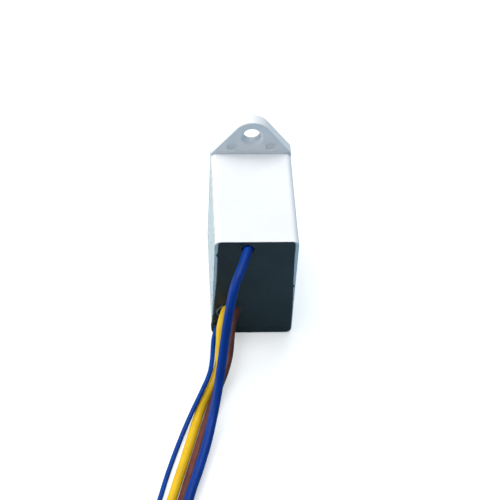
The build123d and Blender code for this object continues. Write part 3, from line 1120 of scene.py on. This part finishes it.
def sleeve_nodes() -> bpy.types.NodeTree:
    """The tree that draws an insulated sleeve along a curve.

    Returns:
        The tree: it resamples the curve, gives it a round section that tucks in at the cut end, and
        stores where each point is round and along the lead for the finish.
    """
    name = "sleeve_along_lead"
    if name in bpy.data.node_groups:
        return bpy.data.node_groups[name]
    graph = new_shape_tree(name, [("Radius", "NodeSocketFloat"), ("Sides", "NodeSocketInt"),
                                  ("Ring step", "NodeSocketFloat"), ("Finish", "NodeSocketMaterial")])
    source = graph.source
    even = graph.add("GeometryNodeResampleCurve", {"mode": "LENGTH"}, Curve=source["Geometry"],
                     Length=source["Ring step"])
    spline = graph.add("GeometryNodeSplineParameter")
    length = spline.outputs["Length"]
    kept = graph.add("GeometryNodeStoreNamedAttribute", {"data_type": "FLOAT", "domain": "POINT"},
                     Geometry=even.outputs["Curve"], Name="along", Value=length)
    circle = graph.add("GeometryNodeCurvePrimitiveCircle",
                       Resolution=source["Sides"], Radius=source["Radius"])
    turn = graph.times(graph.add("GeometryNodeSplineParameter").outputs["Factor"], 2 * math.pi)
    section = graph.add("GeometryNodeStoreNamedAttribute", {"data_type": "FLOAT", "domain": "POINT"},
                        Geometry=circle.outputs["Curve"], Name="turn", Value=turn)
    wobble = graph.add("ShaderNodeTexNoise", {"noise_dimensions": "1D"}, W=length, Scale=170.0, Detail=2.0)
    swell = graph.spread(wobble.outputs["Fac"], 0.2, 0.8, 0.985, 1.015)
    tucked = graph.spread(spline.outputs["Factor"], 0.9965, 0.9999, 1.0, 0.95)
    scale = graph.times(swell, tucked)
    tube = graph.add("GeometryNodeCurveToMesh", Curve=kept.outputs["Geometry"],
                     Profile_Curve=section.outputs["Geometry"], Scale=scale, Fill_Caps=True)
    angle, far = (
        graph.add("GeometryNodeInputNamedAttribute", {"data_type": "FLOAT"}, Name=key).outputs["Attribute"]
        for key in ("turn", "along")
    )
    vector = graph.add("ShaderNodeCombineXYZ", X=graph.maths("COSINE", angle),
                       Y=graph.maths("SINE", angle), Z=graph.times(far, 14.0))
    stored = graph.add("GeometryNodeStoreNamedAttribute", {"data_type": "FLOAT_VECTOR", "domain": "POINT"},
                       Geometry=tube.outputs["Mesh"], Name="round_and_along",
                       Value=vector.outputs["Vector"])
    close_tree(graph, stored.outputs["Geometry"])
    return graph.tree


def strand_nodes() -> bpy.types.NodeTree:
    """The tree that lays twisted strands along a stripped end.

    Returns:
        The tree: one strand is repeated on a middle point and on one or two rings about it, all are
        twisted together and splayed towards their ends, and the bundle is turned to its direction.
    """
    name = "twisted_strands"
    if name in bpy.data.node_groups:
        return bpy.data.node_groups[name]
    graph = new_shape_tree(name, [("Start", "NodeSocketVector"), ("Direction", "NodeSocketVector"),
                                  ("Length", "NodeSocketFloat"), ("Strand radius", "NodeSocketFloat"),
                                  ("Outer ring", "NodeSocketInt"), ("Twist", "NodeSocketFloat"),
                                  ("Finish", "NodeSocketMaterial")])
    source = graph.source
    radius = source["Strand radius"]
    middle = graph.add("GeometryNodePoints", Count=1)
    inner = graph.add("GeometryNodeMeshCircle", Vertices=6, Radius=graph.times(radius, 2.0))
    outer = graph.add("GeometryNodeMeshCircle", Vertices=source["Outer ring"],
                      Radius=graph.times(radius, 3.93))
    spots = graph.add("GeometryNodeJoinGeometry")
    inner_spots = graph.add("GeometryNodeMeshToPoints", Mesh=inner.outputs["Mesh"])
    outer_spots = graph.add("GeometryNodeMeshToPoints", Mesh=outer.outputs["Mesh"])
    for part in (middle, inner_spots, outer_spots):
        graph.tree.links.new(part.outputs["Points"], spots.inputs["Geometry"])
    top = graph.add("ShaderNodeCombineXYZ", Z=source["Length"])
    strand = graph.add("GeometryNodeCurvePrimitiveLine", End=top.outputs["Vector"])
    fine = graph.add("GeometryNodeResampleCurve", Curve=strand.outputs["Curve"], Count=18)
    laid = graph.add("GeometryNodeInstanceOnPoints", Points=spots.outputs["Geometry"],
                     Instance=fine.outputs["Curve"])
    whole = graph.add("GeometryNodeRealizeInstances", Geometry=laid.outputs["Instances"])
    place = graph.add("GeometryNodeInputPosition").outputs["Position"]
    height = graph.add("ShaderNodeSeparateXYZ", Vector=place).outputs["Z"]
    share = graph.maths("DIVIDE", height, source["Length"])
    turned = graph.add("ShaderNodeVectorRotate", {"rotation_type": "Z_AXIS"}, Vector=place,
                       Angle=graph.times(share, source["Twist"]))
    opened = graph.plus(1.0, graph.times(graph.maths("POWER", share, 4.0), 0.16))
    stretch = graph.add("ShaderNodeCombineXYZ", X=opened, Y=opened, Z=1.0)
    splayed = graph.add("ShaderNodeVectorMath", {"operation": "MULTIPLY"}, Vector=turned.outputs["Vector"],
                        Vector_001=stretch.outputs["Vector"])
    moved = graph.add("GeometryNodeSetPosition", Geometry=whole.outputs["Geometry"],
                      Position=splayed.outputs["Vector"])
    section = graph.add("GeometryNodeCurvePrimitiveCircle", Resolution=8, Radius=radius)
    wires = graph.add("GeometryNodeCurveToMesh", Curve=moved.outputs["Geometry"],
                      Profile_Curve=section.outputs["Curve"], Fill_Caps=True)
    aimed = graph.add("FunctionNodeAlignRotationToVector", {"axis": "Z"}, Vector=source["Direction"])
    put = graph.add("GeometryNodeTransform", Geometry=wires.outputs["Mesh"], Translation=source["Start"],
                    Rotation=aimed.outputs["Rotation"])
    close_tree(graph, put.outputs["Geometry"])
    return graph.tree


ROUTES: dict[str, list[tuple[float, float, float]]] = {
    "neutral": [
        (-0.0029, 0, 0.0427), (-0.0048, 0.007, 0.0429), (-0.0078, 0.0136, 0.0404),
        (-0.0094, 0.019, 0.035),
        (-0.0107, 0.0236, 0.0274), (-0.0118, 0.0284, 0.0192), (-0.0131, 0.0342, 0.012),
        (-0.0149, 0.0416, 0.0072), (-0.017, 0.0505, 0.0049), (-0.0199, 0.0605, 0.0043),
        (-0.0235, 0.0715, 0.0042), (-0.0261, 0.083, 0.0033), (-0.0293, 0.0945, 0.002),
        (-0.0324, 0.1052, 0.00155), (-0.0346, 0.1108, 0.00155),
    ],
    "earth": [
        (-0.009, 0, 0.0134), (-0.0111, 0.0058, 0.0126), (-0.0115, 0.0108, 0.0087),
        (-0.0115, 0.0158, 0.0041),
        (-0.0132, 0.021, 0.002), (-0.0159, 0.0268, 0.00155), (-0.0185, 0.0338, 0.00155),
        (-0.0208, 0.042, 0.00155), (-0.0234, 0.0515, 0.00155), (-0.0263, 0.0615, 0.00155),
        (-0.0293, 0.072, 0.00155), (-0.0332, 0.084, 0.00155), (-0.0374, 0.0954, 0.00155),
        (-0.042, 0.1062, 0.00155), (-0.047, 0.1156, 0.00155), (-0.0496, 0.1198, 0.00155),
    ],
    "line": [
        (-0.0056, 0, 0.0122), (-0.0076, 0.0052, 0.0117), (-0.0081, 0.0102, 0.0096),
        (-0.0086, 0.0152, 0.007),
        (-0.0101, 0.0206, 0.0051), (-0.0124, 0.0264, 0.004), (-0.0147, 0.0334, 0.0026),
        (-0.0174, 0.042, 0.0017), (-0.02, 0.0515, 0.00155), (-0.0229, 0.0615, 0.00155),
        (-0.0259, 0.0725, 0.00155), (-0.0298, 0.0845, 0.00155), (-0.0336, 0.096, 0.00155),
        (-0.0378, 0.107, 0.00155), (-0.0423, 0.1166, 0.00155), (-0.0446, 0.1206, 0.00155),
    ],
    "signal": [
        (-0.0119, 0, 0.0044), (-0.0133, 0.0048, 0.0043), (-0.0138, 0.0098, 0.0042),
        (-0.0142, 0.0154, 0.0044),
        (-0.0152, 0.0216, 0.0045), (-0.0178, 0.0282, 0.0042), (-0.0209, 0.035, 0.0032),
        (-0.0242, 0.0426, 0.0017), (-0.0274, 0.0515, 0.0009), (-0.0305, 0.0615, 0.0008),
        (-0.0332, 0.072, 0.0008), (-0.0374, 0.083, 0.0008), (-0.042, 0.0934, 0.0008),
        (-0.0468, 0.103, 0.0008), (-0.0506, 0.1098, 0.0008), (-0.0532, 0.1146, 0.0008),
    ],
}


def make_leads() -> list[Lead]:
    """The four leads, from the thick one at the top to the thin one at the bottom corner."""
    power = {"radius": 1.55 * MM, "core_radius": 0.8 * MM, "tip_length": 8 * MM, "rings": 2}
    return [
        Lead("neutral", "blue_sleeve", route=ROUTES["neutral"], **power),
        Lead("earth", "yellow_sleeve", route=ROUTES["earth"], **power),
        Lead("line", "brown_sleeve", route=ROUTES["line"], **power),
        Lead("signal", "thin_blue_sleeve", route=ROUTES["signal"], radius=0.8 * MM, core_radius=0.35 * MM,
             tip_length=6 * MM, rings=1, sides=24),
    ]


# ---- resin -------------------------------------------------------------------------------------
@dataclass
class Resin:
    """The cured fill: a skin that creeps over the rim, with a crater, lumps and rings round the leads.

    Attributes:
        housing: The moulding that it fills.
        leads: The leads that come out of it.
        skin: How far it stands out from the rim.
        corner: The radius of its upper corners.
        top_margin: How far short of the box's top it stops.
        left_inset: Height and distance from the box's left side, from the top down.
        right_inset: The same on the right.
        low_corner: The radius of its lower corners.
        edge_step: The spacing of the points along its edge.
        inner_step: The spacing of the points across its face.
        crater_depth: The depth of the gap round the uppermost lead.
        blobs: Lumps in the lower left corner: place across and up, radius and height, in mm.
        thread_route: The points of the pale curl, a painted highlight on the rim of the pit beside the
            yellow lead: across, out from the rim and up, in mm.
    """

    housing: Housing
    leads: list[Lead]
    skin: float = 0.2 * MM
    corner: float = 1.2 * MM
    low_corner: float = 1.9 * MM
    top_margin: float = 0.15 * MM
    edge_step: float = 0.3 * MM
    inner_step: float = 0.9 * MM
    crater_depth: float = 1.2 * MM
    left_inset: tuple[Point2, ...] = (
        (46 * MM, 1.15 * MM), (28 * MM, 1.12 * MM), (22 * MM, 0.9 * MM), (16 * MM, 0.66 * MM),
        (9 * MM, 0.35 * MM), (6 * MM, 0.05 * MM), (4 * MM, -0.12 * MM), (1.5 * MM, 0.1 * MM), (0, 0.3 * MM),
    )
    right_inset: tuple[Point2, ...] = (
        (46 * MM, 1.25 * MM), (38 * MM, 1.15 * MM), (27 * MM, 0.85 * MM), (17 * MM, 0.42 * MM),
        (6 * MM, 0.22 * MM), (0, 0.25 * MM),
    )
    blobs: tuple[tuple[float, float, float, float], ...] = (
        (0.5, 8.4, 0.55, 0.7), (1.1, 6.9, 0.7, 0.9), (0.3, 6.0, 0.5, 0.8), (0.8, 4.9, 0.5, 0.5),
        (0.2, 4.0, 0.6, 1.0), (1.2, 3.2, 0.6, 0.7), (0.9, 1.6, 0.6, 0.6),
    )
    thread_route: tuple[tuple[float, float, float], ...] = (
        (-10.4, 0.3, 14.5), (-11.2, 0.75, 14.3), (-12.3, 0.95, 13.0), (-12.5, 1.0, 11.7),
        (-12.1, 0.9, 10.7), (-11.5, 0.6, 10.1),
    )

    def inset(self, table: tuple[Point2, ...], height: float) -> float:
        """The distance from the box's side to the resin's edge at a height."""
        heights = [h for h, _ in reversed(table)]
        insets = [i for _, i in reversed(table)]
        return float(np.interp(height, heights, insets))

    def outline(self) -> list[Point2]:
        """The skin's edge, anticlockwise: a rounded rectangle that wanders a little.

        Returns:
            Its points across and up.
        """
        half = (self.housing.high.x - self.housing.low.x) / 2
        low, high = self.top_margin, self.housing.box_height - self.top_margin
        width, height = 2 * half, high - low
        side_steps = (round(width / self.edge_step), round(height / self.edge_step))
        flat = rounded_rectangle(width, height, self.corner, 8, side_steps)
        points = []
        for x, z in flat:
            z += (low + high) / 2
            side = self.inset(self.right_inset if x > 0 else self.left_inset, z)
            squeeze = (half - side) / half
            x *= squeeze
            corner = self.low_corner
            below = max(0.0, corner - (z - low)) / corner
            beyond = max(0.0, abs(x) - (half - side - corner)) / corner
            if below > 0 and beyond > 0:
                reach = math.hypot(below, beyond)
                if reach > 1:
                    x = math.copysign(half - side - corner + corner * beyond / reach, x)
                    z = low + corner - corner * below / reach
            ragged = 1.0 + 1.6 * (x < 0) * smooth_step((34 * MM - z) / (20 * MM))
            wander = 0.09 * MM * ragged * noise.noise(Vector((x, z, 0)) / (1.6 * MM))
            wander += 0.06 * MM * ragged * noise.noise(Vector((x, z, 3)) / (0.55 * MM))
            if x < 0:
                nub = 0.5 * MM * bump(z - 39.6 * MM, 0.9 * MM)
            else:
                nub = 0.4 * MM * bump(z - 24.2 * MM, 0.5 * MM)
            if x < 0 and z < 9 * MM:
                nub += 0.3 * MM * noise.noise(Vector((0, z, 5)) / (0.7 * MM))
            outwards = Vector((x / half, (z - (low + high) / 2) / (height / 2)))
            if abs(outwards.x) > abs(outwards.y):
                x += math.copysign(wander + nub, x)
            else:
                z += math.copysign(min(wander, 0.04 * MM), outwards.y)
            points.append((x, z))
        return points

    def relief(self, x: float, z: float, edge: float) -> float:
        """How far the resin's face stands out from the rim at a point.

        Args:
            x: The point across.
            z: The point up.
            edge: Its distance inside the outline.

        Returns:
            The height towards -Y, less than nothing in a pit.
        """
        rise = self.skin * math.sqrt(1 - (1 - min(1.0, edge / (0.45 * MM))) ** 2)
        rise += 0.05 * MM * noise.noise(Vector((x, z, 7)) / (9 * MM)) * smooth_step(edge / (2 * MM))
        for lead in self.leads:
            exit_point = lead.points[0]
            away = math.hypot(x - exit_point.x, z - exit_point.z) - lead.radius
            if lead.name == "neutral":
                rise += 0.12 * MM * bump(away - 0.75 * MM, 0.35 * MM)
                rise -= self.crater_depth * smooth_step((0.6 * MM - away) / (0.35 * MM))
            else:
                rise += 0.3 * MM * bump(max(0.0, away), 0.45 * MM)
        rise += self.lumps(x, z) * smooth_step(edge / (0.3 * MM))
        return rise

    def lumps(self, x: float, z: float) -> float:
        """The uneven resin in the lower left corner, the pit beside the leads and a smear.

        Args:
            x: The point across.
            z: The point up.

        Returns:
            The height that they add.
        """
        left = self.housing.low.x
        corner = smooth_step((left + 4.2 * MM - x) / (2.5 * MM)) * smooth_step((15.5 * MM - z) / (3 * MM))
        rough = 0.45 * MM * noise.noise(Vector((x, z, 1)) / (1.4 * MM))
        rough += 0.3 * MM * noise.noise(Vector((x, z, 2)) / (0.6 * MM))
        rise = corner * (0.22 * MM + rough)
        rise -= 0.95 * MM * bump(math.hypot((x + 11.1 * MM) / 0.8, (z - 11.6 * MM) / 1.5), 1.15 * MM)
        rise += 0.35 * MM * bump(math.hypot(x + 12.5 * MM, z - 13.2 * MM), 0.6 * MM)
        for across, height, reach, out in self.blobs:
            rise += out * MM * bump(math.hypot(x - left - across * MM, z - height * MM), reach * MM)
        rise += 0.22 * MM * bump(math.hypot(x + 3.4 * MM, (z - 13.4 * MM) / 0.5), 0.8 * MM)
        return rise

    def build(self) -> bpy.types.Object:
        """Makes the fill as one closed piece on the frame.

        Returns:
            The finished piece.
        """
        outline = self.outline()
        depths = (0.0, 0.05 * MM, 0.14 * MM, 0.28 * MM, 0.46 * MM, 0.8 * MM)
        loops = [inset_loop(outline, depth) for depth in depths]
        points = [Vector(p) for loop in loops for p in loop]
        edges = []
        start = 0
        for loop in loops:
            edges += [(start + i, start + (i + 1) % len(loop)) for i in range(len(loop))]
            start += len(loop)
        points += [Vector(p) for p in self.inner_points(loops[-1])]
        flat, _, faces, _, _, _ = delaunay_2d_cdt(points, edges, [], 1, 1e-7)
        boundary = np.array(outline)
        shape = bmesh.new()
        rim_y = self.housing.low.y
        skin = []
        for point in flat:
            edge = distance_to_loop(point, boundary)
            skin.append(shape.verts.new((point.x, rim_y - self.relief(point.x, point.y, edge), point.y)))
        for face in faces:
            shape.faces.new([skin[i] for i in face])
        self.close_behind(shape, rim_y)
        bmesh.ops.recalc_face_normals(shape, faces=shape.faces)
        mesh = bpy.data.meshes.new("resin_face")
        shape.to_mesh(mesh)
        shape.free()
        mesh.shade_smooth()
        piece = add_object("resin_face", mesh)
        dress(piece, "resin")
        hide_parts("resin_fill")
        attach(piece, BODY)
        # The pale curl beside the yellow lead is a painted highlight on the pit's rim.
        self.thread()
        log.info("resin: %d faces", len(mesh.polygons))
        return piece

    def thread(self) -> bpy.types.Object:
        """A pale curl beside the yellow lead, in a paler copy of the resin: a painted highlight along the
        rim of the pit there.

        Returns:
            The finished piece.
        """
        line = bpy.data.curves.new("resin_thread_line", "CURVE")
        line.dimensions = "3D"
        spline = line.splines.new("NURBS")
        spline.points.add(len(self.thread_route) - 1)
        for slot, (across, out, height) in zip(spline.points, self.thread_route):
            slot.co = (across * MM, self.housing.low.y - out * MM, height * MM, 1.0)
        spline.order_u = 3
        spline.use_endpoint_u = True
        rough = add_object("resin_thread_line", line)
        set_inputs(rough, sleeve_nodes(), {
            "Radius": 0.11 * MM,
            "Sides": 8,
            "Ring step": 0.12 * MM,
            "Finish": FINISHES["resin_thread"].material(),
        })
        piece = settle(rough, "resin_thread")
        piece.data.materials.clear()
        piece.data.materials.append(FINISHES["resin_thread"].material())
        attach(piece, BODY)
        return piece

    def inner_points(self, border: list[Point2]) -> list[Point2]:
        """Points that fill the face, closer together round each lead and in the rough corner.

        Args:
            border: The innermost loop of the edge.

        Returns:
            The points inside it, thinned out where they crowd.
        """
        found = []
        exits = [lead.points[0] for lead in self.leads]
        border_points = np.array(border)
        low_x, low_z = border_points.min(0)
        high_x, high_z = border_points.max(0)
        rows = int((high_z - low_z) / self.inner_step)
        columns = int((high_x - low_x) / self.inner_step)
        for row in range(rows + 1):
            for column in range(columns + 1):
                x = low_x + self.inner_step * (column + 0.5 * (row % 2))
                z = low_z + self.inner_step * row
                if all(math.hypot(x - e.x, z - e.z) > 3.2 * MM for e in exits):
                    found.append((x, z))
        for exit_point in exits:
            for ring in range(1, 14):
                radius = 0.25 * MM * ring
                count = 8 + 4 * ring
                for i in range(count):
                    turn = 0.37 * ring + 2 * math.pi * i / count
                    found.append((exit_point.x + radius * math.cos(turn),
                                  exit_point.z + radius * math.sin(turn)))
        fine = 0.3 * MM
        left = self.housing.low.x
        for row in range(int(16 * MM / fine)):
            for column in range(int(4.5 * MM / fine)):
                found.append((left + fine * (column + 0.5 * (row % 2)), fine * row))
        inside = [p for p in found if inside_loop(p, border_points)
                  and distance_to_loop(Vector(p), border_points) > 0.12 * MM]
        return thin_out(inside, 0.2 * MM)

    def close_behind(self, shape: bmesh.types.BMesh, rim_y: float) -> None:
        """Carries the skin's edge back into the box and closes the fill at the closed end.

        Args:
            shape: The mesh that holds the face.
            rim_y: The rim's place.
        """
        edges = [edge for edge in shape.edges if edge.is_boundary]
        half_width = (self.housing.high.x - self.housing.low.x) / 2 - self.housing.wall - 0.01 * MM
        half_height = self.housing.box_height / 2 - self.housing.wall - 0.01 * MM
        middle = self.housing.box_height / 2
        end_y = self.housing.high.y - self.housing.closed_wall
        for y in (rim_y + 0.02 * MM, end_y):
            made = bmesh.ops.extrude_edge_only(shape, edges=edges)
            moved = [v for v in made["geom"] if isinstance(v, bmesh.types.BMVert)]
            for vertex in moved:
                vertex.co.y = y
                vertex.co.x = min(half_width, max(-half_width, vertex.co.x))
                vertex.co.z = middle + min(half_height, max(-half_height, vertex.co.z - middle))
            edges = [e for e in made["geom"] if isinstance(e, bmesh.types.BMEdge) and e.is_boundary]
        bmesh.ops.remove_doubles(shape, verts=shape.verts, dist=0.0005 * MM)
        edges = [edge for edge in shape.edges if edge.is_boundary]
        bmesh.ops.holes_fill(shape, edges=edges)


def inset_loop(loop: list[Point2], depth: float) -> list[Point2]:
    """Moves a closed anticlockwise loop inwards along its own normals.

    Args:
        loop: Its points.
        depth: How far.

    Returns:
        The moved points.
    """
    if depth == 0:
        return list(loop)
    points = np.array(loop)
    before, after = np.roll(points, 3, 0), np.roll(points, -3, 0)
    along = after - before
    normal = np.stack([-along[:, 1], along[:, 0]], 1)
    normal /= np.maximum(np.linalg.norm(normal, axis=1, keepdims=True), 1e-12)
    return [tuple(p) for p in points + depth * normal]


def distance_to_loop(point: Vector, loop: np.ndarray) -> float:
    """The distance from a point to the nearest side of a closed loop.

    Args:
        point: The point.
        loop: The loop's points, one to a row.

    Returns:
        The distance.
    """
    place = np.array((point[0], point[1]))
    start, along = loop, np.roll(loop, -1, 0) - loop
    share = ((place - start) * along).sum(1) / np.maximum((along * along).sum(1), 1e-18)
    nearest = start + np.clip(share, 0, 1)[:, None] * along
    return float(np.sqrt(((place - nearest) ** 2).sum(1)).min())


def inside_loop(point: Point2, loop: np.ndarray) -> bool:
    """Whether a point lies inside a closed loop.

    Args:
        point: The point.
        loop: The loop's points, one to a row.

    Returns:
        True inside.
    """
    x, z = point
    following = np.roll(loop, -1, 0)
    crossing = (loop[:, 1] > z) != (following[:, 1] > z)
    rise = following[:, 1] - loop[:, 1]
    at = loop[:, 0] + (z - loop[:, 1]) * (following[:, 0] - loop[:, 0]) / np.where(rise == 0, 1e-18, rise)
    return bool((crossing & (x < at)).sum() % 2)


def thin_out(points: list[Point2], spacing: float) -> list[Point2]:
    """Drops points that lie closer than a spacing to one that is kept already.

    Args:
        points: The points, in their order of precedence.
        spacing: The least distance between two that stay.

    Returns:
        The points that stay.
    """
    kept, cells = [], {}
    for x, z in points:
        cell = (int(x // spacing), int(z // spacing))
        around = [(cell[0] + i, cell[1] + j) for i in (-1, 0, 1) for j in (-1, 0, 1)]
        near = [p for neighbour in around for p in cells.get(neighbour, [])]
        if all(math.hypot(x - a, z - b) >= spacing for a, b in near):
            cells.setdefault(cell, []).append((x, z))
            kept.append((x, z))
    return kept


# ---- what the frame already holds ----------------------------------------------------------------
def dress_frame_nodes() -> None:
    """Gives every CAD node that still shows its own finish, from its slot in the record."""
    slots = {part["node"]: part["material_slot"] for part in frame["record"]["subparts"]}
    for name, node in frame["nodes"].items():
        if node.hide_render:
            continue
        finish = FINISHES[slots[name]].material()
        if not node.data.materials:
            node.data.materials.append(finish)
        for index in range(len(node.data.materials)):
            node.data.materials[index] = finish
        log.info("%s: %s", name, slots[name])


# ---- studio --------------------------------------------------------------------------------------
@dataclass
class Studio:
    """The floor, the light and the camera.

    Attributes:
        azimuth: The camera's direction round the object, in degrees.
        elevation: How far it looks down, in degrees.
        roll: Its tilt about its own axis, in degrees.
        distance: Its distance from the aim.
        aim: The point it looks at.
        lens: Its focal length in millimetres on a 36 mm sensor.
        floor_radius: The floor's radius.
        floor_gap: How far the floor lies below the object.
    """

    azimuth: float = 5.398
    elevation: float = 46.741
    roll: float = 3.59
    distance: float = 0.5585
    aim: Vector = field(default_factory=lambda: Vector((-0.3, -2.78, 20.39)) * MM)
    lens: float = 115.2
    floor_radius: float = 4.0
    floor_gap: float = 0.05 * MM

    def build(self) -> None:
        """Sets up everything round the object."""
        self.floor()
        self.lights()
        self.camera()

    def floor(self) -> None:
        """A wide pale floor."""
        shape = bmesh.new()
        bmesh.ops.create_circle(shape, cap_ends=True, segments=96, radius=self.floor_radius)
        mesh = bpy.data.meshes.new("floor")
        shape.to_mesh(mesh)
        shape.free()
        mesh.transform(Matrix.Translation((0, 0, -self.floor_gap)))
        piece = add_object("floor", mesh)
        paper = bpy.data.materials.new("floor_paper")
        paper.use_nodes = True
        graph = Graph(paper.node_tree)
        shader = paper.node_tree.nodes["Principled BSDF"]
        place = graph.add("ShaderNodeTexCoord").outputs["Object"]
        drift = graph.add("ShaderNodeTexNoise", Vector=place, Scale=3.0, Detail=2.0)
        seen = graph.blend(drift.outputs["Fac"], (0.84, 0.85, 0.86), (0.86, 0.87, 0.875))
        bounce = graph.blend(drift.outputs["Fac"], (0.28, 0.46, 0.59), (0.30, 0.48, 0.61))
        looking = graph.add("ShaderNodeLightPath").outputs["Is Camera Ray"]
        graph.feed(shader, "Base_Color", graph.blend(looking, bounce, seen))
        graph.feed(shader, "Emission_Strength", graph.times(looking, 0.35))
        shader.inputs["Emission Color"].default_value = (1.0, 1.0, 1.0, 1.0)
        shader.inputs["Roughness"].default_value = 0.85
        shader.inputs["Specular IOR Level"].default_value = 0.1
        mesh.materials.append(paper)

    def lights(self) -> None:
        """A broad light overhead and behind, a softer one from the left, and a dim cool sky."""
        self.area("overhead", Vector((-0.08, 0.22, 1.43)), 1.55, 25.0, (1.0, 0.97, 0.945))
        self.area("left_fill", Vector((-1.4, 0.12, 0.38)), 0.9, 14.0, (1.0, 0.90, 0.76))
        sky = bpy.data.worlds.new("sky")
        bpy.context.scene.world = sky
        sky.use_nodes = True
        graph = Graph(sky.node_tree)
        ground = sky.node_tree.nodes["Background"]
        looking = graph.add("ShaderNodeLightPath").outputs["Is Camera Ray"]
        graph.feed(ground, "Color", graph.blend(looking, (0.085, 0.165, 0.225), (1.0, 1.0, 1.0)))

    def area(self, name: str, place: Vector, size: float, power: float, colour: Colour) -> None:
        """Adds one square area light that faces the object.

        Args:
            name: The light's name.
            place: Where it stands.
            size: The length of its side.
            power: Its power in watts.
            colour: Its colour.
        """
        light = bpy.data.lights.new(name, "AREA")
        light.size = size
        light.energy = power
        light.color = colour
        lamp = add_object(name, light)
        facing = (self.aim - place).to_track_quat("-Z", "Y")
        lamp.matrix_world = Matrix.Translation(place) @ facing.to_matrix().to_4x4()

    def camera(self) -> None:
        """Aims the camera and makes it the scene's."""
        turn, down, roll = (math.radians(a) for a in (self.azimuth, self.elevation, self.roll))
        level_share = math.cos(down)
        forward = Vector((math.sin(turn) * level_share, math.cos(turn) * level_share, -math.sin(down)))
        level = Vector((math.cos(turn), -math.sin(turn), 0))
        upright = level.cross(forward)
        right = level * math.cos(roll) + upright * math.sin(roll)
        up = right.cross(forward)
        eye = bpy.data.cameras.new("camera")
        eye.lens = self.lens
        eye.sensor_width = 36
        eye.clip_start, eye.clip_end = 0.01, 50
        camera = add_object("camera", eye)
        turned = Matrix((right, up, -forward)).transposed().to_4x4()
        camera.matrix_world = Matrix.Translation(self.aim - forward * self.distance) @ turned
        bpy.context.scene.camera = camera


def main() -> None:
    """Builds the object's pieces in order, then the studio round them."""
    logging.basicConfig(level=logging.INFO, format="%(name)s %(message)s")
    bpy.context.scene.view_settings.view_transform = "Standard"
    leads = make_leads()
    for lead in leads:
        lead.build()
    housing = Housing()
    housing.build()
    Resin(housing, leads).build()
    dress_frame_nodes()
    Studio().build()


if __name__ == "__main__":
    main()
